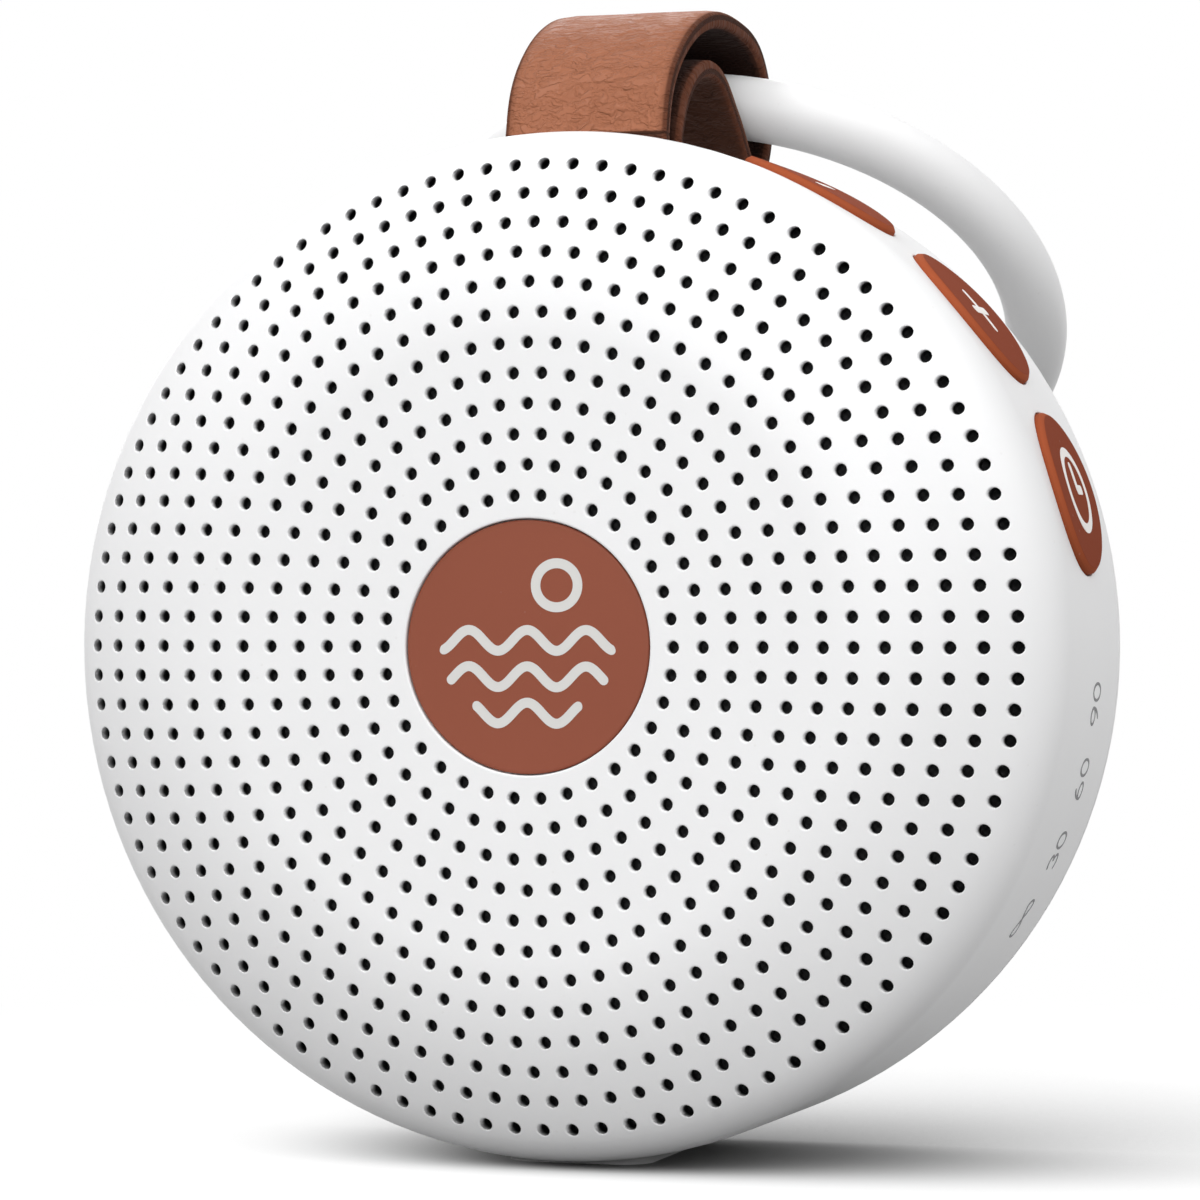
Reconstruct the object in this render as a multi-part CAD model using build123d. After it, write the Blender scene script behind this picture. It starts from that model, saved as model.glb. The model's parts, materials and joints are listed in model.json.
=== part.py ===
from build123d import *
import math
import os

# White noise sound machine: a round, drum-shaped speaker that stands on its rim, with a
# leather loop and a plastic ring to hang it by.
#
# Every piece is modelled in the body frame: origin at the middle of the front face, +Y
# towards the back along the drum's axis, +Z up, +X to the right as seen from the front.
# save() moves it to the part frame, whose origin is the middle of the foot's underside.
# An angle round the drum is counted from +X towards +Z, in degrees.

# ---------------------------------------------------------------- overall sizes
BODY_DIAMETER = 96.0
BODY_DEPTH = 38.0
WALL = 1.8
WALL_DRAFT = 0.1            # the rim is this much narrower where it leaves the front curve
BACK_COVER_HEIGHT = 4.8     # from the back face to the seam
BACK_ROUND = 4.6
BACK_LAND = 0.05            # straight wall left between the round and the seam
BACK_WALL = 2.0
SEAM_GAP = 0.15

# working allowances: how far a cut passes through, and how far a feature runs into its wall
THROUGH = 20.0
CUT = 1.0
JOIN = 0.5

# front curve: a flat middle, a wide arc and a tight shoulder arc
FRONT_CURVE_WIDTH = 19.5    # from the flat middle's edge to the rim
CROWN_ARC = 28.3
CROWN_TURN = 34.4           # degrees turned by the wide arc

# grille: rings of holes round the emblem, each ring six holes longer than the last
HOLE_DIAMETER = 1.2
GRILLE_FIRST_RADIUS = 13.8
GRILLE_PITCH = 2.775
GRILLE_EDGE = 3.5           # least distance from the last ring to the rim
GRILLE_FIRST_COUNT = 34
GRILLE_STEP = 6

# emblem plate
EMBLEM_DIAMETER = 23.1
EMBLEM_THICKNESS = 1.0
EMBLEM_INSET = 0.2
EMBLEM_GAP = 0.12
EMBLEM_SEAT = 1.6           # plastic left behind the plate
EMBLEM_STUD_RADIUS = 1.0
EMBLEM_STUD_CIRCLE = 7.0
EMBLEM_STUDS = 3
EMBLEM_CHAMFER = 0.15

# acoustic cloth
CLOTH_THICKNESS = 0.4
CLOTH_GAP = 0.1
CLOTH_MARGIN = 0.5          # past the outermost hole
CLOTH_HUB_GAP = 0.05

# rest foot
FOOT_WIDTH = 14.0
FOOT_LENGTH = 18.0
FOOT_THICKNESS = 1.2
FOOT_STAND_OUT = 0.4
FOOT_SEAM_GAP = 1.2         # from the foot's back edge to the seam
FOOT_CORNER = 3.0
FOOT_GAP = 0.1

# buttons on the rim
BUTTON_DIAMETER = 15.6
BUTTON_GAP = 0.12
BUTTON_RISE = 0.6
BUTTON_CHAMFER = 0.4
BUTTON_DEPTH = 21.4         # centre, from the front face
BUTTON_TRAVEL = 0.5
BUTTON_FLANGE = 0.6         # width of the retaining flange
BUTTON_FLANGE_GAP = 0.29    # between neighbouring flanges
BUTTON_STRAP_GAP = 1.23     # from the strap's bracket to the nearest flange
BUTTON_FLANGE_THICKNESS = 1.0
BUTTON_FLANGE_DROP = 1.5    # top of the flange below the inner wall
BUTTON_POCKET = 10.4        # diameter of the hollow over the switch
POWER_ANGLE = 140.0

# tact switches, key walls and flexible circuits
SWITCH_SIZE = 6.0
SWITCH_HEIGHT = 3.3
PLUNGER_DIAMETER = 3.4
PLUNGER_RISE = 0.7
PLUNGER_GAP = 0.05
PLUNGER_ROOT = 1.2          # length of plunger inside the switch
KEY_WALL_INSET = 5.5        # outside of the key walls from the inner wall
KEY_WALL_THICKNESS = 1.4
KEY_WALL_PAST_BOARD = 2.6   # from the board's front to the walls' end
KEY_WALL_REACH = 7.2        # round the wall, past the middle of the end button
LIGHT_WALL_REACH = (3.6, 1.0)   # past the last light and the first
FLEX_THICKNESS = 0.3
FLEX_START = 16.6
FLEX_PAST_BOARD = 0.6
FLEX_BRIDGE = 1.2           # width of the strip that passes in front of the side post
FLEX_EDGE = 1.0             # degrees short of the wall's end
FLEX_OVERLAP = 2.0          # degrees the bridge runs onto each sheet
FLEX_TAIL_WIDTH = 5.0
FLEX_TAIL_REACH = 6.0       # how far the tail's end lies inside the board's edge
FLEX_NOTCH_GAP = 0.5
FLEX_LEFT_TAIL = 5.0        # round the wall from the middle of the power button
FLEX_CONNECTOR = (7.0, 3.0, 1.2)

# timer lights behind the printed marks
MARK_COUNT = 4
MARK_FIRST = 19.85          # round the rim from the timer button to the first mark
MARK_PITCH = 7.12           # round the rim
MARK_DEPTH = 23.8
LED_SIZE = (1.6, 1.0, 0.6)
GUIDE_THICKNESS = 1.0
GUIDE_WIDTH = 3.0
GUIDE_ROD_RADIUS = 0.9
GUIDE_GAP = 0.1
GUIDE_SPREAD = 2.6          # degrees past the first and last light

# speaker baffle
BAFFLE_THICKNESS = 2.0
BAFFLE_PLATFORM = 9.7       # front face of the platform
BAFFLE_RIM = 14.0           # front face of the rim
BAFFLE_RIM_INSET = 3.5      # from the inner wall, as the next two
BAFFLE_STEP_INSET = 11.6
BAFFLE_BOSS_INSET = 9.0
BAFFLE_OVERLAP = 2.4        # width of the platform behind the speaker's flange
BAFFLE_BOSS_RADIUS = 2.4
BAFFLE_BOSS_LENGTH = 3.4
BAFFLE_OTHER_ANGLES = (122.0, 225.0, 315.0)

# screws: shank radius, head radius, head height
SCREW_SHANK = 1.0
SCREW_HEAD = 1.9
SCREW_HEAD_HEIGHT = 1.2
DRIVE_DEPTH = 0.72
DRIVE_REACH = 1.0
DRIVE_HALF = 0.22
SCREW_CLEARANCE = 0.2
THREAD_GAP = 0.02
SCREW_END_GAP = 0.6
BAFFLE_SCREW_LENGTH = 4.6
SPEAKER_SCREW_LENGTH = 3.2
COVER_SCREW_LENGTH = 9.0
BOARD_SCREW_LENGTH = 6.0
RIB_WIDTH = 2.4

# posts that take the cover screws
POST_INSET = 5.1            # middle of the posts from the inner wall
POST_RADIUS = 2.8
POST_START = 18.0
POST_OTHER_ANGLES = (110.0, 200.0, 290.0)
COVER_HEAD_DEPTH = 2.6      # head recess below the back face
SPIGOT_LENGTH = 2.4
SPIGOT_THICKNESS = 1.4
SPIGOT_GAP = 0.15

# speaker
SPEAKER_MARGIN = 5.5        # from the platform's edge to the flange
SPEAKER_FLANGE_THICKNESS = 1.5
SPEAKER_EAR_OUT = 1.6       # middle of the ears outside the flange's edge
SPEAKER_EAR_RADIUS = 2.7
SPEAKER_EAR_ANGLES = (45.0, 135.0, 225.0, 315.0)
BASKET_MOUTH_INSET = 3.4    # from the flange's edge
BASKET_WALL = 1.0
BASKET_BOTTOM_RADIUS = 15.0
YOKE_BOARD_GAP = 2.8
BASKET_WINDOWS = 4
BASKET_WINDOW_WIDTH = 13.0
BASKET_MOUTH_WALL = 1.6
TOP_PLATE_THICKNESS = 1.8
MAGNET_THICKNESS = 4.0
YOKE_THICKNESS = 1.8
MAGNET_RADIUS = 15.0
MAGNET_BORE = 10.0
YOKE_INSET = 0.5
POLE_RADIUS = 6.3
COIL_INNER_RADIUS = 6.7
COIL_THICKNESS = 0.5
COIL_LENGTH = 6.0
COIL_GAP = 0.35
CONE_THICKNESS = 0.5
CONE_CLEARANCE = 3.4        # from the cone's back to the top plate
SURROUND_INSET = 3.6        # from the flange's edge
SURROUND_WIDTH = 3.8        # with the part glued to the flange
SURROUND_THICKNESS = 0.5
SURROUND_LAP = 1.4          # width glued to the basket's flange
DUST_CAP_RISE = 2.4
DUST_CAP_OVERHANG = 1.2
SPIDER_THICKNESS = 0.4
SPIDER_FOLDS = 3
SPIDER_FOLD_HEIGHT = 0.5
SPIDER_BORE_GAP = 0.05
GASKET_GAP = 0.1
GASKET_WIDTH = 2.8

# speaker terminals and leads
TERMINAL_SIZE = (9.0, 1.0, 3.0)
TERMINAL_SET_BACK = 1.6     # behind the basket window's front edge
TERMINAL_INSET = 3.25       # top of the strip inside the basket's mouth
LEAD_RADIUS = 0.5
LEAD_SPACING = 3.0

# main board and what it carries
BOARD_INSET = 9.1           # from the inner wall
BOARD_THICKNESS = 1.6
BOARD_SET_IN = 10.6         # board's front face from the back face
BOARD_TONGUE_WIDTH = 14.0
BOARD_POST_INSET = 4.0      # from the board's edge
BOARD_POST_RADIUS = 2.5
BOARD_POST_ANGLES = (45.0, 135.0, 225.0, 315.0)
USB_ANGLE = 180.0
USB_WIDTH = 8.94
USB_HEIGHT = 3.26
USB_LENGTH = 7.3
USB_SHELL = 0.3
USB_BACK_WALL = 0.6
USB_TONGUE = 0.7
USB_TONGUE_MARGIN = 1.1     # tongue's edge inside the shell's
USB_TONGUE_SHORT = 1.0      # tongue's end behind the mouth
USB_INSET = 0.3             # mouth behind the inner wall
USB_OPENING_GAP = 0.35
CHIPS = {"audio_chip": (21.0, 6.0, 7.0, 7.0, 1.2),
         "amplifier_chip": (14.0, -21.0, 5.0, 6.0, 1.4),
         "charger_chip": (-27.0, 9.0, 4.0, 4.0, 1.0)}
CAPACITORS = ((6.1, 222.0), (5.7, 243.9))     # inside the board's posts, and angle
CAPACITOR_RADIUS = 2.5
CAPACITOR_HEIGHT = 5.4

# battery
BATTERY_SIZE = (50.0, 5.6, 34.0)
BATTERY_ROUND = 2.4
TAPE_THICKNESS = 0.5
TAPE_MARGIN = 4.0
CONNECTOR_SIZE = (6.0, 4.2, 3.6)
CONNECTOR_PLACE = (6.0, 24.0)

# leather strap
STRAP_WIDTH = 16.0
STRAP_THICKNESS = 1.9
STRAP_SAMPLES = 48
STRAP_FRONT_LEG = 18.35     # depth of the two legs where they leave the body
STRAP_BACK_LEG = 22.85
STRAP_SLOT_GAP = 0.4
PIN_RADIUS = 1.2
PIN_FIT = 0.03
STRAP_ANGLE = 90.0
PIN_BELOW_RIM = 6.2
BRACKET_THICKNESS = 2.2
BRACKET_GAP = 0.3
BRACKET_WIDTH = 6.0
BRACKET_BELOW = 1.2         # below the pin's bore
NECK_ABOVE_RIM = (0.3, 3.9)     # the leather flexes between these heights
NECK_BACK = 30.0
# middle line of the strap outside the body, front leg to back leg: depth, height over the rim
STRAP_LINE = ((19.3, 3.6), (23.4, 8.2), (29.7, 11.5), (36.8, 13.1), (45.0, 13.0),
              (51.5, 11.3), (55.3, 6.0), (54.0, 1.0), (50.3, -0.8), (46.8, 1.1),
              (44.0, 3.45), (41.9, 4.9), (38.4, 7.1), (33.8, 8.0), (28.9, 6.8),
              (24.6, 3.5))

# carry ring
RING_DIAMETER = 62.2        # to the middle of the tube
RING_TUBE = 6.4
RING_PIVOT = (48.6, 6.26)   # tube's middle inside the loop: depth, height over the rim
RING_DROP = 36.4            # degrees below level that the ring leans back

# ---------------------------------------------------------------- worked out
BODY_RADIUS = BODY_DIAMETER / 2
AXIS_HEIGHT = BODY_RADIUS + FOOT_STAND_OUT
FRONT_RIM_RADIUS = BODY_RADIUS - WALL_DRAFT
INNER_RADIUS = FRONT_RIM_RADIUS - WALL
SPLIT_DEPTH = BODY_DEPTH - BACK_COVER_HEIGHT
FOOT_CENTRE_DEPTH = SPLIT_DEPTH - FOOT_SEAM_GAP - FOOT_LENGTH / 2
FLAT_RADIUS = FRONT_RIM_RADIUS - FRONT_CURVE_WIDTH
CROWN_RADIUS = FLAT_RADIUS + CROWN_ARC * math.sin(math.radians(CROWN_TURN))
SHOULDER_ARC = (FRONT_RIM_RADIUS - CROWN_RADIUS) / (1 - math.sin(math.radians(CROWN_TURN)))
SHOULDER_CENTRE = (FRONT_RIM_RADIUS - SHOULDER_ARC,
                   CROWN_ARC * (1 - math.cos(math.radians(CROWN_TURN)))
                   + SHOULDER_ARC * math.cos(math.radians(CROWN_TURN)))
BACK_INNER = BODY_DEPTH - BACK_WALL
BACK_CORNER = min(BACK_ROUND, BACK_COVER_HEIGHT - SEAM_GAP - BACK_LAND)
BOARD_FRONT = BODY_DEPTH - BOARD_SET_IN
BOARD_RADIUS = INNER_RADIUS - BOARD_INSET
BOARD_POST_CIRCLE = BOARD_RADIUS - BOARD_POST_INSET
POST_CIRCLE = INNER_RADIUS - POST_INSET
BAFFLE_RIM_RADIUS = INNER_RADIUS - BAFFLE_RIM_INSET
BAFFLE_STEP_RADIUS = INNER_RADIUS - BAFFLE_STEP_INSET
BAFFLE_BOSS_CIRCLE = INNER_RADIUS - BAFFLE_BOSS_INSET
SPEAKER_FLANGE_RADIUS = BAFFLE_STEP_RADIUS - SPEAKER_MARGIN
SPEAKER_EAR_CIRCLE = SPEAKER_FLANGE_RADIUS + SPEAKER_EAR_OUT
BAFFLE_OPENING_RADIUS = SPEAKER_FLANGE_RADIUS - BAFFLE_OVERLAP
BASKET_MOUTH_RADIUS = SPEAKER_FLANGE_RADIUS - BASKET_MOUTH_INSET
SURROUND_OUTER_RADIUS = SPEAKER_FLANGE_RADIUS - SURROUND_INSET
CONE_MOUTH_RADIUS = SURROUND_OUTER_RADIUS - SURROUND_WIDTH
SPEAKER_FRONT = BAFFLE_PLATFORM - SPEAKER_FLANGE_THICKNESS
YOKE_FRONT = BOARD_FRONT - YOKE_BOARD_GAP - YOKE_THICKNESS
MAGNET_FRONT = YOKE_FRONT - MAGNET_THICKNESS
TOP_PLATE_FRONT = MAGNET_FRONT - TOP_PLATE_THICKNESS
COIL_OUTER_RADIUS = COIL_INNER_RADIUS + COIL_THICKNESS
KEY_WALL_RADIUS = INNER_RADIUS - KEY_WALL_INSET
KEY_WALL_END = BOARD_FRONT + KEY_WALL_PAST_BOARD
FLEX_END = BOARD_FRONT + FLEX_PAST_BOARD
FLEX_RADIUS = KEY_WALL_RADIUS + FLEX_THICKNESS
SWITCH_BASE = FLEX_RADIUS + PLUNGER_GAP
SWITCH_TOP = SWITCH_BASE + SWITCH_HEIGHT
PLUNGER_TOP = SWITCH_TOP + PLUNGER_RISE
BOARD_BACK = BOARD_FRONT + BOARD_THICKNESS
PIN_HEIGHT = BODY_RADIUS - PIN_BELOW_RIM
NECK_LOW = BODY_RADIUS + NECK_ABOVE_RIM[0]
NECK_HIGH = BODY_RADIUS + NECK_ABOVE_RIM[1]
BRACKET_NEAR = STRAP_WIDTH / 2 + BRACKET_GAP
BRACKET_FAR = BRACKET_NEAR + BRACKET_THICKNESS
USB_DEPTH = BOARD_FRONT - USB_HEIGHT / 2
PIN_DEPTH = (STRAP_FRONT_LEG + STRAP_BACK_LEG) / 2
GRILLE_RINGS = 1 + int((FRONT_RIM_RADIUS - GRILLE_EDGE - GRILLE_FIRST_RADIUS) / GRILLE_PITCH)
GRILLE_LAST_RADIUS = GRILLE_FIRST_RADIUS + GRILLE_PITCH * (GRILLE_RINGS - 1)
CLOTH_RADIUS = GRILLE_LAST_RADIUS + HOLE_DIAMETER / 2 + CLOTH_MARGIN
CLOTH_INNER_RADIUS = GRILLE_FIRST_RADIUS - HOLE_DIAMETER / 2 - CLOTH_HUB_GAP
CONE_BACK = TOP_PLATE_FRONT - CONE_CLEARANCE
CONE_SLOPE = (CONE_BACK - SPEAKER_FRONT) / (CONE_MOUTH_RADIUS - SURROUND_THICKNESS - COIL_OUTER_RADIUS)
TERMINAL_FRONT = (SPEAKER_FRONT + SPEAKER_FLANGE_THICKNESS + BASKET_WALL
                  + TERMINAL_SET_BACK)
TERMINAL_HEIGHT = TERMINAL_INSET - BASKET_MOUTH_RADIUS


def round_wall(distance, radius):
    """Degrees that a distance round a wall of this radius takes."""
    return math.degrees(distance / radius)


def aside(distance, radius):
    """Degrees at which a circle of this radius is a distance away from its own axis."""
    return math.degrees(math.asin(distance / radius))


# places round the rim, which all start from the strap
FLANGE_REACH = BUTTON_DIAMETER / 2 + BUTTON_FLANGE
FLANGE_TOP = INNER_RADIUS - BUTTON_FLANGE_DROP
FLANGE_BOTTOM = FLANGE_TOP - BUTTON_FLANGE_THICKNESS
BUTTON_TURN = 2 * aside(FLANGE_REACH + BUTTON_FLANGE_GAP / 2, FLANGE_BOTTOM)
MINUS_ANGLE = STRAP_ANGLE - aside(BRACKET_FAR + BUTTON_STRAP_GAP + FLANGE_REACH, FLANGE_BOTTOM)
BUTTONS = {"minus": MINUS_ANGLE, "plus": MINUS_ANGLE - BUTTON_TURN,
           "timer": MINUS_ANGLE - 2 * BUTTON_TURN, "power": POWER_ANGLE}
MARK_ANGLES = [BUTTONS["timer"] - round_wall(MARK_FIRST + MARK_PITCH * number, BODY_RADIUS)
               for number in range(MARK_COUNT)]
KEY_WALL_TURN = round_wall(KEY_WALL_REACH, KEY_WALL_RADIUS)
KEY_ARC_RIGHT = (BUTTONS["timer"] - KEY_WALL_TURN, BUTTONS["minus"] + KEY_WALL_TURN)
KEY_ARC_LIGHTS = (MARK_ANGLES[-1] - round_wall(LIGHT_WALL_REACH[0], KEY_WALL_RADIUS),
                  MARK_ANGLES[0] + round_wall(LIGHT_WALL_REACH[1], KEY_WALL_RADIUS))
KEY_ARC_LEFT = (POWER_ANGLE - KEY_WALL_TURN, POWER_ANGLE + KEY_WALL_TURN)
FLEX_TAIL_ANGLES = {"right": (BUTTONS["timer"] + BUTTONS["plus"]) / 2,
                    "left": POWER_ANGLE + round_wall(FLEX_LEFT_TAIL, KEY_WALL_RADIUS)}
POST_ANGLES = ((KEY_ARC_LIGHTS[1] + KEY_ARC_RIGHT[0]) / 2, *POST_OTHER_ANGLES)
BAFFLE_ANGLES = (BUTTONS["plus"] + BUTTON_TURN / 2, *BAFFLE_OTHER_ANGLES)

DRUM_AXIS = Axis((0, 0, 0), (0, 1, 0))
PLACE = Location((0, -FOOT_CENTRE_DEPTH, AXIS_HEIGHT))


# ---------------------------------------------------------------- helpers
def save(name, shape):
    """Writes one node's STEP file in the part frame."""
    export_step(PLACE * shape, "parts/" + name + ".step", write_pcurves=False)


def group(solids):
    """Several separate solids in one node."""
    return Compound(children=list(solids))


def polar(radius, angle):
    """X and Z of a point at a radius and angle round the drum's axis."""
    turn = math.radians(angle)
    return radius * math.cos(turn), radius * math.sin(turn)


def rod(radius, start, end, x=0.0, z=0.0):
    """Cylinder along the drum's axis between two depths."""
    return Pos(x, (start + end) / 2, z) * Rot(90, 0, 0) * Cylinder(radius, end - start)


def tube(outer, inner, start, end):
    """Ring about the drum's axis between two depths."""
    return rod(outer, start, end) - rod(inner, start - CUT, end + CUT)


def block(x0, x1, y0, y1, z0, z1):
    """Box between its corners."""
    return Pos((x0 + x1) / 2, (y0 + y1) / 2, (z0 + z1) / 2) * Box(x1 - x0, y1 - y0, z1 - z0)


def lathe(edges):
    """Solid of revolution from a closed outline of (radius, depth) edges."""
    return revolve(make_face(edges), DRUM_AXIS)


def lathe_points(points):
    """Solid of revolution from straight sides."""
    return lathe(Polyline(*points, close=True))


def on_rim(angle, depth=0.0):
    """Place whose X is depth, Y runs round the drum and Z is the radius."""
    x, z = polar(1, angle)
    return Plane(origin=(0, depth, 0), x_dir=(0, 1, 0), z_dir=(x, 0, z)).location


def sector(outer, inner, start, end, angles):
    """Part of a ring between two angles less than half a turn apart."""
    low, high = angles
    corners = [(0, 0)] + [polar(2 * outer, angle) for angle in (low, (low + high) / 2, high)]
    wedge = Face(Wire.make_polygon([(x, start, z) for x, z in corners]))
    return tube(outer, inner, start, end) & extrude(wedge, end - start, dir=(0, 1, 0))


def screw(x, z, head_at, length, towards):
    """Pan-head screw along the drum's axis; towards is +1 or -1 along depth."""
    top = head_at - towards * SCREW_HEAD_HEIGHT
    head = sorted((head_at, top))
    shank = sorted((head_at, head_at + towards * length))
    drive = sorted((top, top + towards * DRIVE_DEPTH))
    cross = (block(x - DRIVE_REACH, x + DRIVE_REACH, *drive, z - DRIVE_HALF, z + DRIVE_HALF)
             + block(x - DRIVE_HALF, x + DRIVE_HALF, *drive, z - DRIVE_REACH, z + DRIVE_REACH))
    return rod(SCREW_HEAD, *head, x, z) + rod(SCREW_SHANK, *shank, x, z) - cross


def screw_hole(circle, angle, gap, start, end):
    """Hole along the drum's axis for a screw's shank."""
    return rod(SCREW_SHANK + gap, start, end, *polar(circle, angle))


def front_outline(offset):
    """Edges of the front curve, moved inwards by an offset, from the axis to the rim."""
    flat_end = (FLAT_RADIUS, offset)
    turn = math.radians(CROWN_TURN)
    crown = CROWN_ARC - offset
    middle = (FLAT_RADIUS + crown * math.sin(turn / 2), CROWN_ARC - crown * math.cos(turn / 2))
    crown_end = (FLAT_RADIUS + crown * math.sin(turn), CROWN_ARC - crown * math.cos(turn))
    shoulder = SHOULDER_ARC - offset
    late = (turn + math.pi / 2) / 2
    late_point = (SHOULDER_CENTRE[0] + shoulder * math.sin(late),
                  SHOULDER_CENTRE[1] - shoulder * math.cos(late))
    rim = (SHOULDER_CENTRE[0] + shoulder, SHOULDER_CENTRE[1])
    return [Line((0, offset), flat_end),
            ThreePointArc(flat_end, middle, crown_end),
            ThreePointArc(crown_end, late_point, rim)]


# ---------------------------------------------------------------- housing
def button_opening(angle):
    """Round hole through the rim for one button."""
    radius = BUTTON_DIAMETER / 2 + BUTTON_GAP
    return on_rim(angle, BUTTON_DEPTH) * Pos(0, 0, INNER_RADIUS) * Cylinder(radius, THROUGH / 2)


def usb_outline(grow):
    """Rounded slot the shape of the socket, seen along the radius."""
    return SlotOverall(USB_WIDTH + 2 * grow, USB_HEIGHT + 2 * grow, rotation=90)


def strap_slot():
    """Slot in the top of the rim that both legs of the strap pass through."""
    half = STRAP_WIDTH / 2 + STRAP_SLOT_GAP
    reach = STRAP_THICKNESS / 2 + STRAP_SLOT_GAP
    return block(-half, half, STRAP_FRONT_LEG - reach, STRAP_BACK_LEG + reach,
                 PIN_HEIGHT, BODY_RADIUS + CUT)


def grille_points():
    """X and Z of every hole."""
    for ring in range(GRILLE_RINGS):
        count = GRILLE_FIRST_COUNT + GRILLE_STEP * ring
        radius = GRILLE_FIRST_RADIUS + GRILLE_PITCH * ring
        for step in range(count):
            yield polar(radius, 360 * step / count)


def cover_post(angle, circle, radius, start, end, rib_end):
    """Post inside the rim with a rib out to the wall."""
    wall_middle = INNER_RADIUS + WALL / 2
    rib = on_rim(angle) * block(start, rib_end, -RIB_WIDTH / 2, RIB_WIDTH / 2,
                                circle, wall_middle)
    post = rod(radius, start, end, *polar(circle, angle))
    return rib + (post & rod(wall_middle, start, end))


def pin_brackets():
    """Two lugs under the top of the rim, bored for the strap's pin."""
    near, far = BRACKET_NEAR, BRACKET_FAR
    low = PIN_HEIGHT - PIN_RADIUS - BRACKET_BELOW
    lugs = block(-far, far, PIN_DEPTH - BRACKET_WIDTH / 2, PIN_DEPTH + BRACKET_WIDTH / 2,
                 low, BODY_RADIUS)
    lugs &= rod(INNER_RADIUS + WALL / 2, 0, BODY_DEPTH)
    lugs -= block(-near, near, 0, BODY_DEPTH, 0, BODY_RADIUS)
    bore = Cylinder(PIN_RADIUS + PIN_FIT, 2 * far + CUT)
    return lugs - Pos(0, PIN_DEPTH, PIN_HEIGHT) * Rot(0, 90, 0) * bore


def front_cover():
    inner = front_outline(WALL)
    outer = front_outline(0)
    split_outer = (BODY_RADIUS, SPLIT_DEPTH)
    split_inner = (INNER_RADIUS, SPLIT_DEPTH)
    shell = lathe(outer + inner + [Line(outer[-1] @ 1, split_outer),
                                   Line(split_outer, split_inner),
                                   Line(split_inner, inner[-1] @ 1),
                                   Line((0, 0), (0, WALL))])
    # seat behind the emblem plate
    seat_front = EMBLEM_INSET + EMBLEM_THICKNESS
    seat_back = seat_front + EMBLEM_SEAT
    shell += rod(CLOTH_INNER_RADIUS - CLOTH_GAP, seat_front, seat_back)
    shell -= rod(EMBLEM_DIAMETER / 2 + EMBLEM_GAP, -CUT, seat_front)
    for number in range(EMBLEM_STUDS):
        x, z = polar(EMBLEM_STUD_CIRCLE, 90 + 360 * number / EMBLEM_STUDS)
        shell -= rod(EMBLEM_STUD_RADIUS + EMBLEM_GAP, -CUT, seat_back + CUT, x, z)
    # bosses for the baffle
    for angle in BAFFLE_ANGLES:
        start = BAFFLE_RIM - BAFFLE_BOSS_LENGTH
        bite = BAFFLE_SCREW_LENGTH - BAFFLE_THICKNESS + SCREW_END_GAP
        shell += cover_post(angle, BAFFLE_BOSS_CIRCLE, BAFFLE_BOSS_RADIUS, start,
                            BAFFLE_RIM, BAFFLE_RIM)
        shell -= screw_hole(BAFFLE_BOSS_CIRCLE, angle, THREAD_GAP, BAFFLE_RIM - bite,
                            BAFFLE_RIM + CUT)
    # posts for the back cover
    for angle in POST_ANGLES:
        bite = COVER_SCREW_LENGTH - (BODY_DEPTH - COVER_HEAD_DEPTH - SPLIT_DEPTH)
        shell += cover_post(angle, POST_CIRCLE, POST_RADIUS, POST_START, SPLIT_DEPTH,
                            SPLIT_DEPTH - SPIGOT_LENGTH - SPIGOT_GAP)
        shell -= screw_hole(POST_CIRCLE, angle, THREAD_GAP, SPLIT_DEPTH - bite - SCREW_END_GAP,
                            SPLIT_DEPTH + CUT)
    shell += pin_brackets()
    shell -= strap_slot()
    # openings in the rim
    for angle in BUTTONS.values():
        shell -= button_opening(angle)
    usb = extrude(usb_outline(USB_OPENING_GAP), THROUGH)
    shell -= on_rim(USB_ANGLE, USB_DEPTH) * Pos(0, 0, INNER_RADIUS - THROUGH / 2) * usb
    # pocket for the foot
    foot_half = FOOT_WIDTH / 2 + FOOT_GAP
    foot_reach = FOOT_LENGTH / 2 + FOOT_GAP
    shell -= block(-foot_half, foot_half, FOOT_CENTRE_DEPTH - foot_reach,
                   FOOT_CENTRE_DEPTH + foot_reach, -BODY_RADIUS - CUT,
                   FOOT_THICKNESS - AXIS_HEIGHT)
    # grille
    drills = [rod(HOLE_DIAMETER / 2, -CUT, SHOULDER_CENTRE[1], x, z).solid()
              for x, z in grille_points()]
    return shell.solid().cut(*drills)


def emblem_plate():
    back = EMBLEM_INSET + EMBLEM_THICKNESS
    plate = rod(EMBLEM_DIAMETER / 2, EMBLEM_INSET, back)
    plate = chamfer(plate.edges().group_by(Axis.Y)[0], EMBLEM_CHAMFER)
    for number in range(EMBLEM_STUDS):
        x, z = polar(EMBLEM_STUD_CIRCLE, 90 + 360 * number / EMBLEM_STUDS)
        plate += rod(EMBLEM_STUD_RADIUS, back - JOIN, back + EMBLEM_SEAT + JOIN, x, z)
    return plate


def acoustic_cloth():
    front = front_outline(WALL + CLOTH_GAP)
    back = front_outline(WALL + CLOTH_GAP + CLOTH_THICKNESS)
    sheet = lathe(front + back + [Line(front[-1] @ 1, back[-1] @ 1),
                                  Line(front[0] @ 0, back[0] @ 0)])
    return sheet & tube(CLOTH_RADIUS, CLOTH_INNER_RADIUS, 0, BODY_DEPTH)


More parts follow.
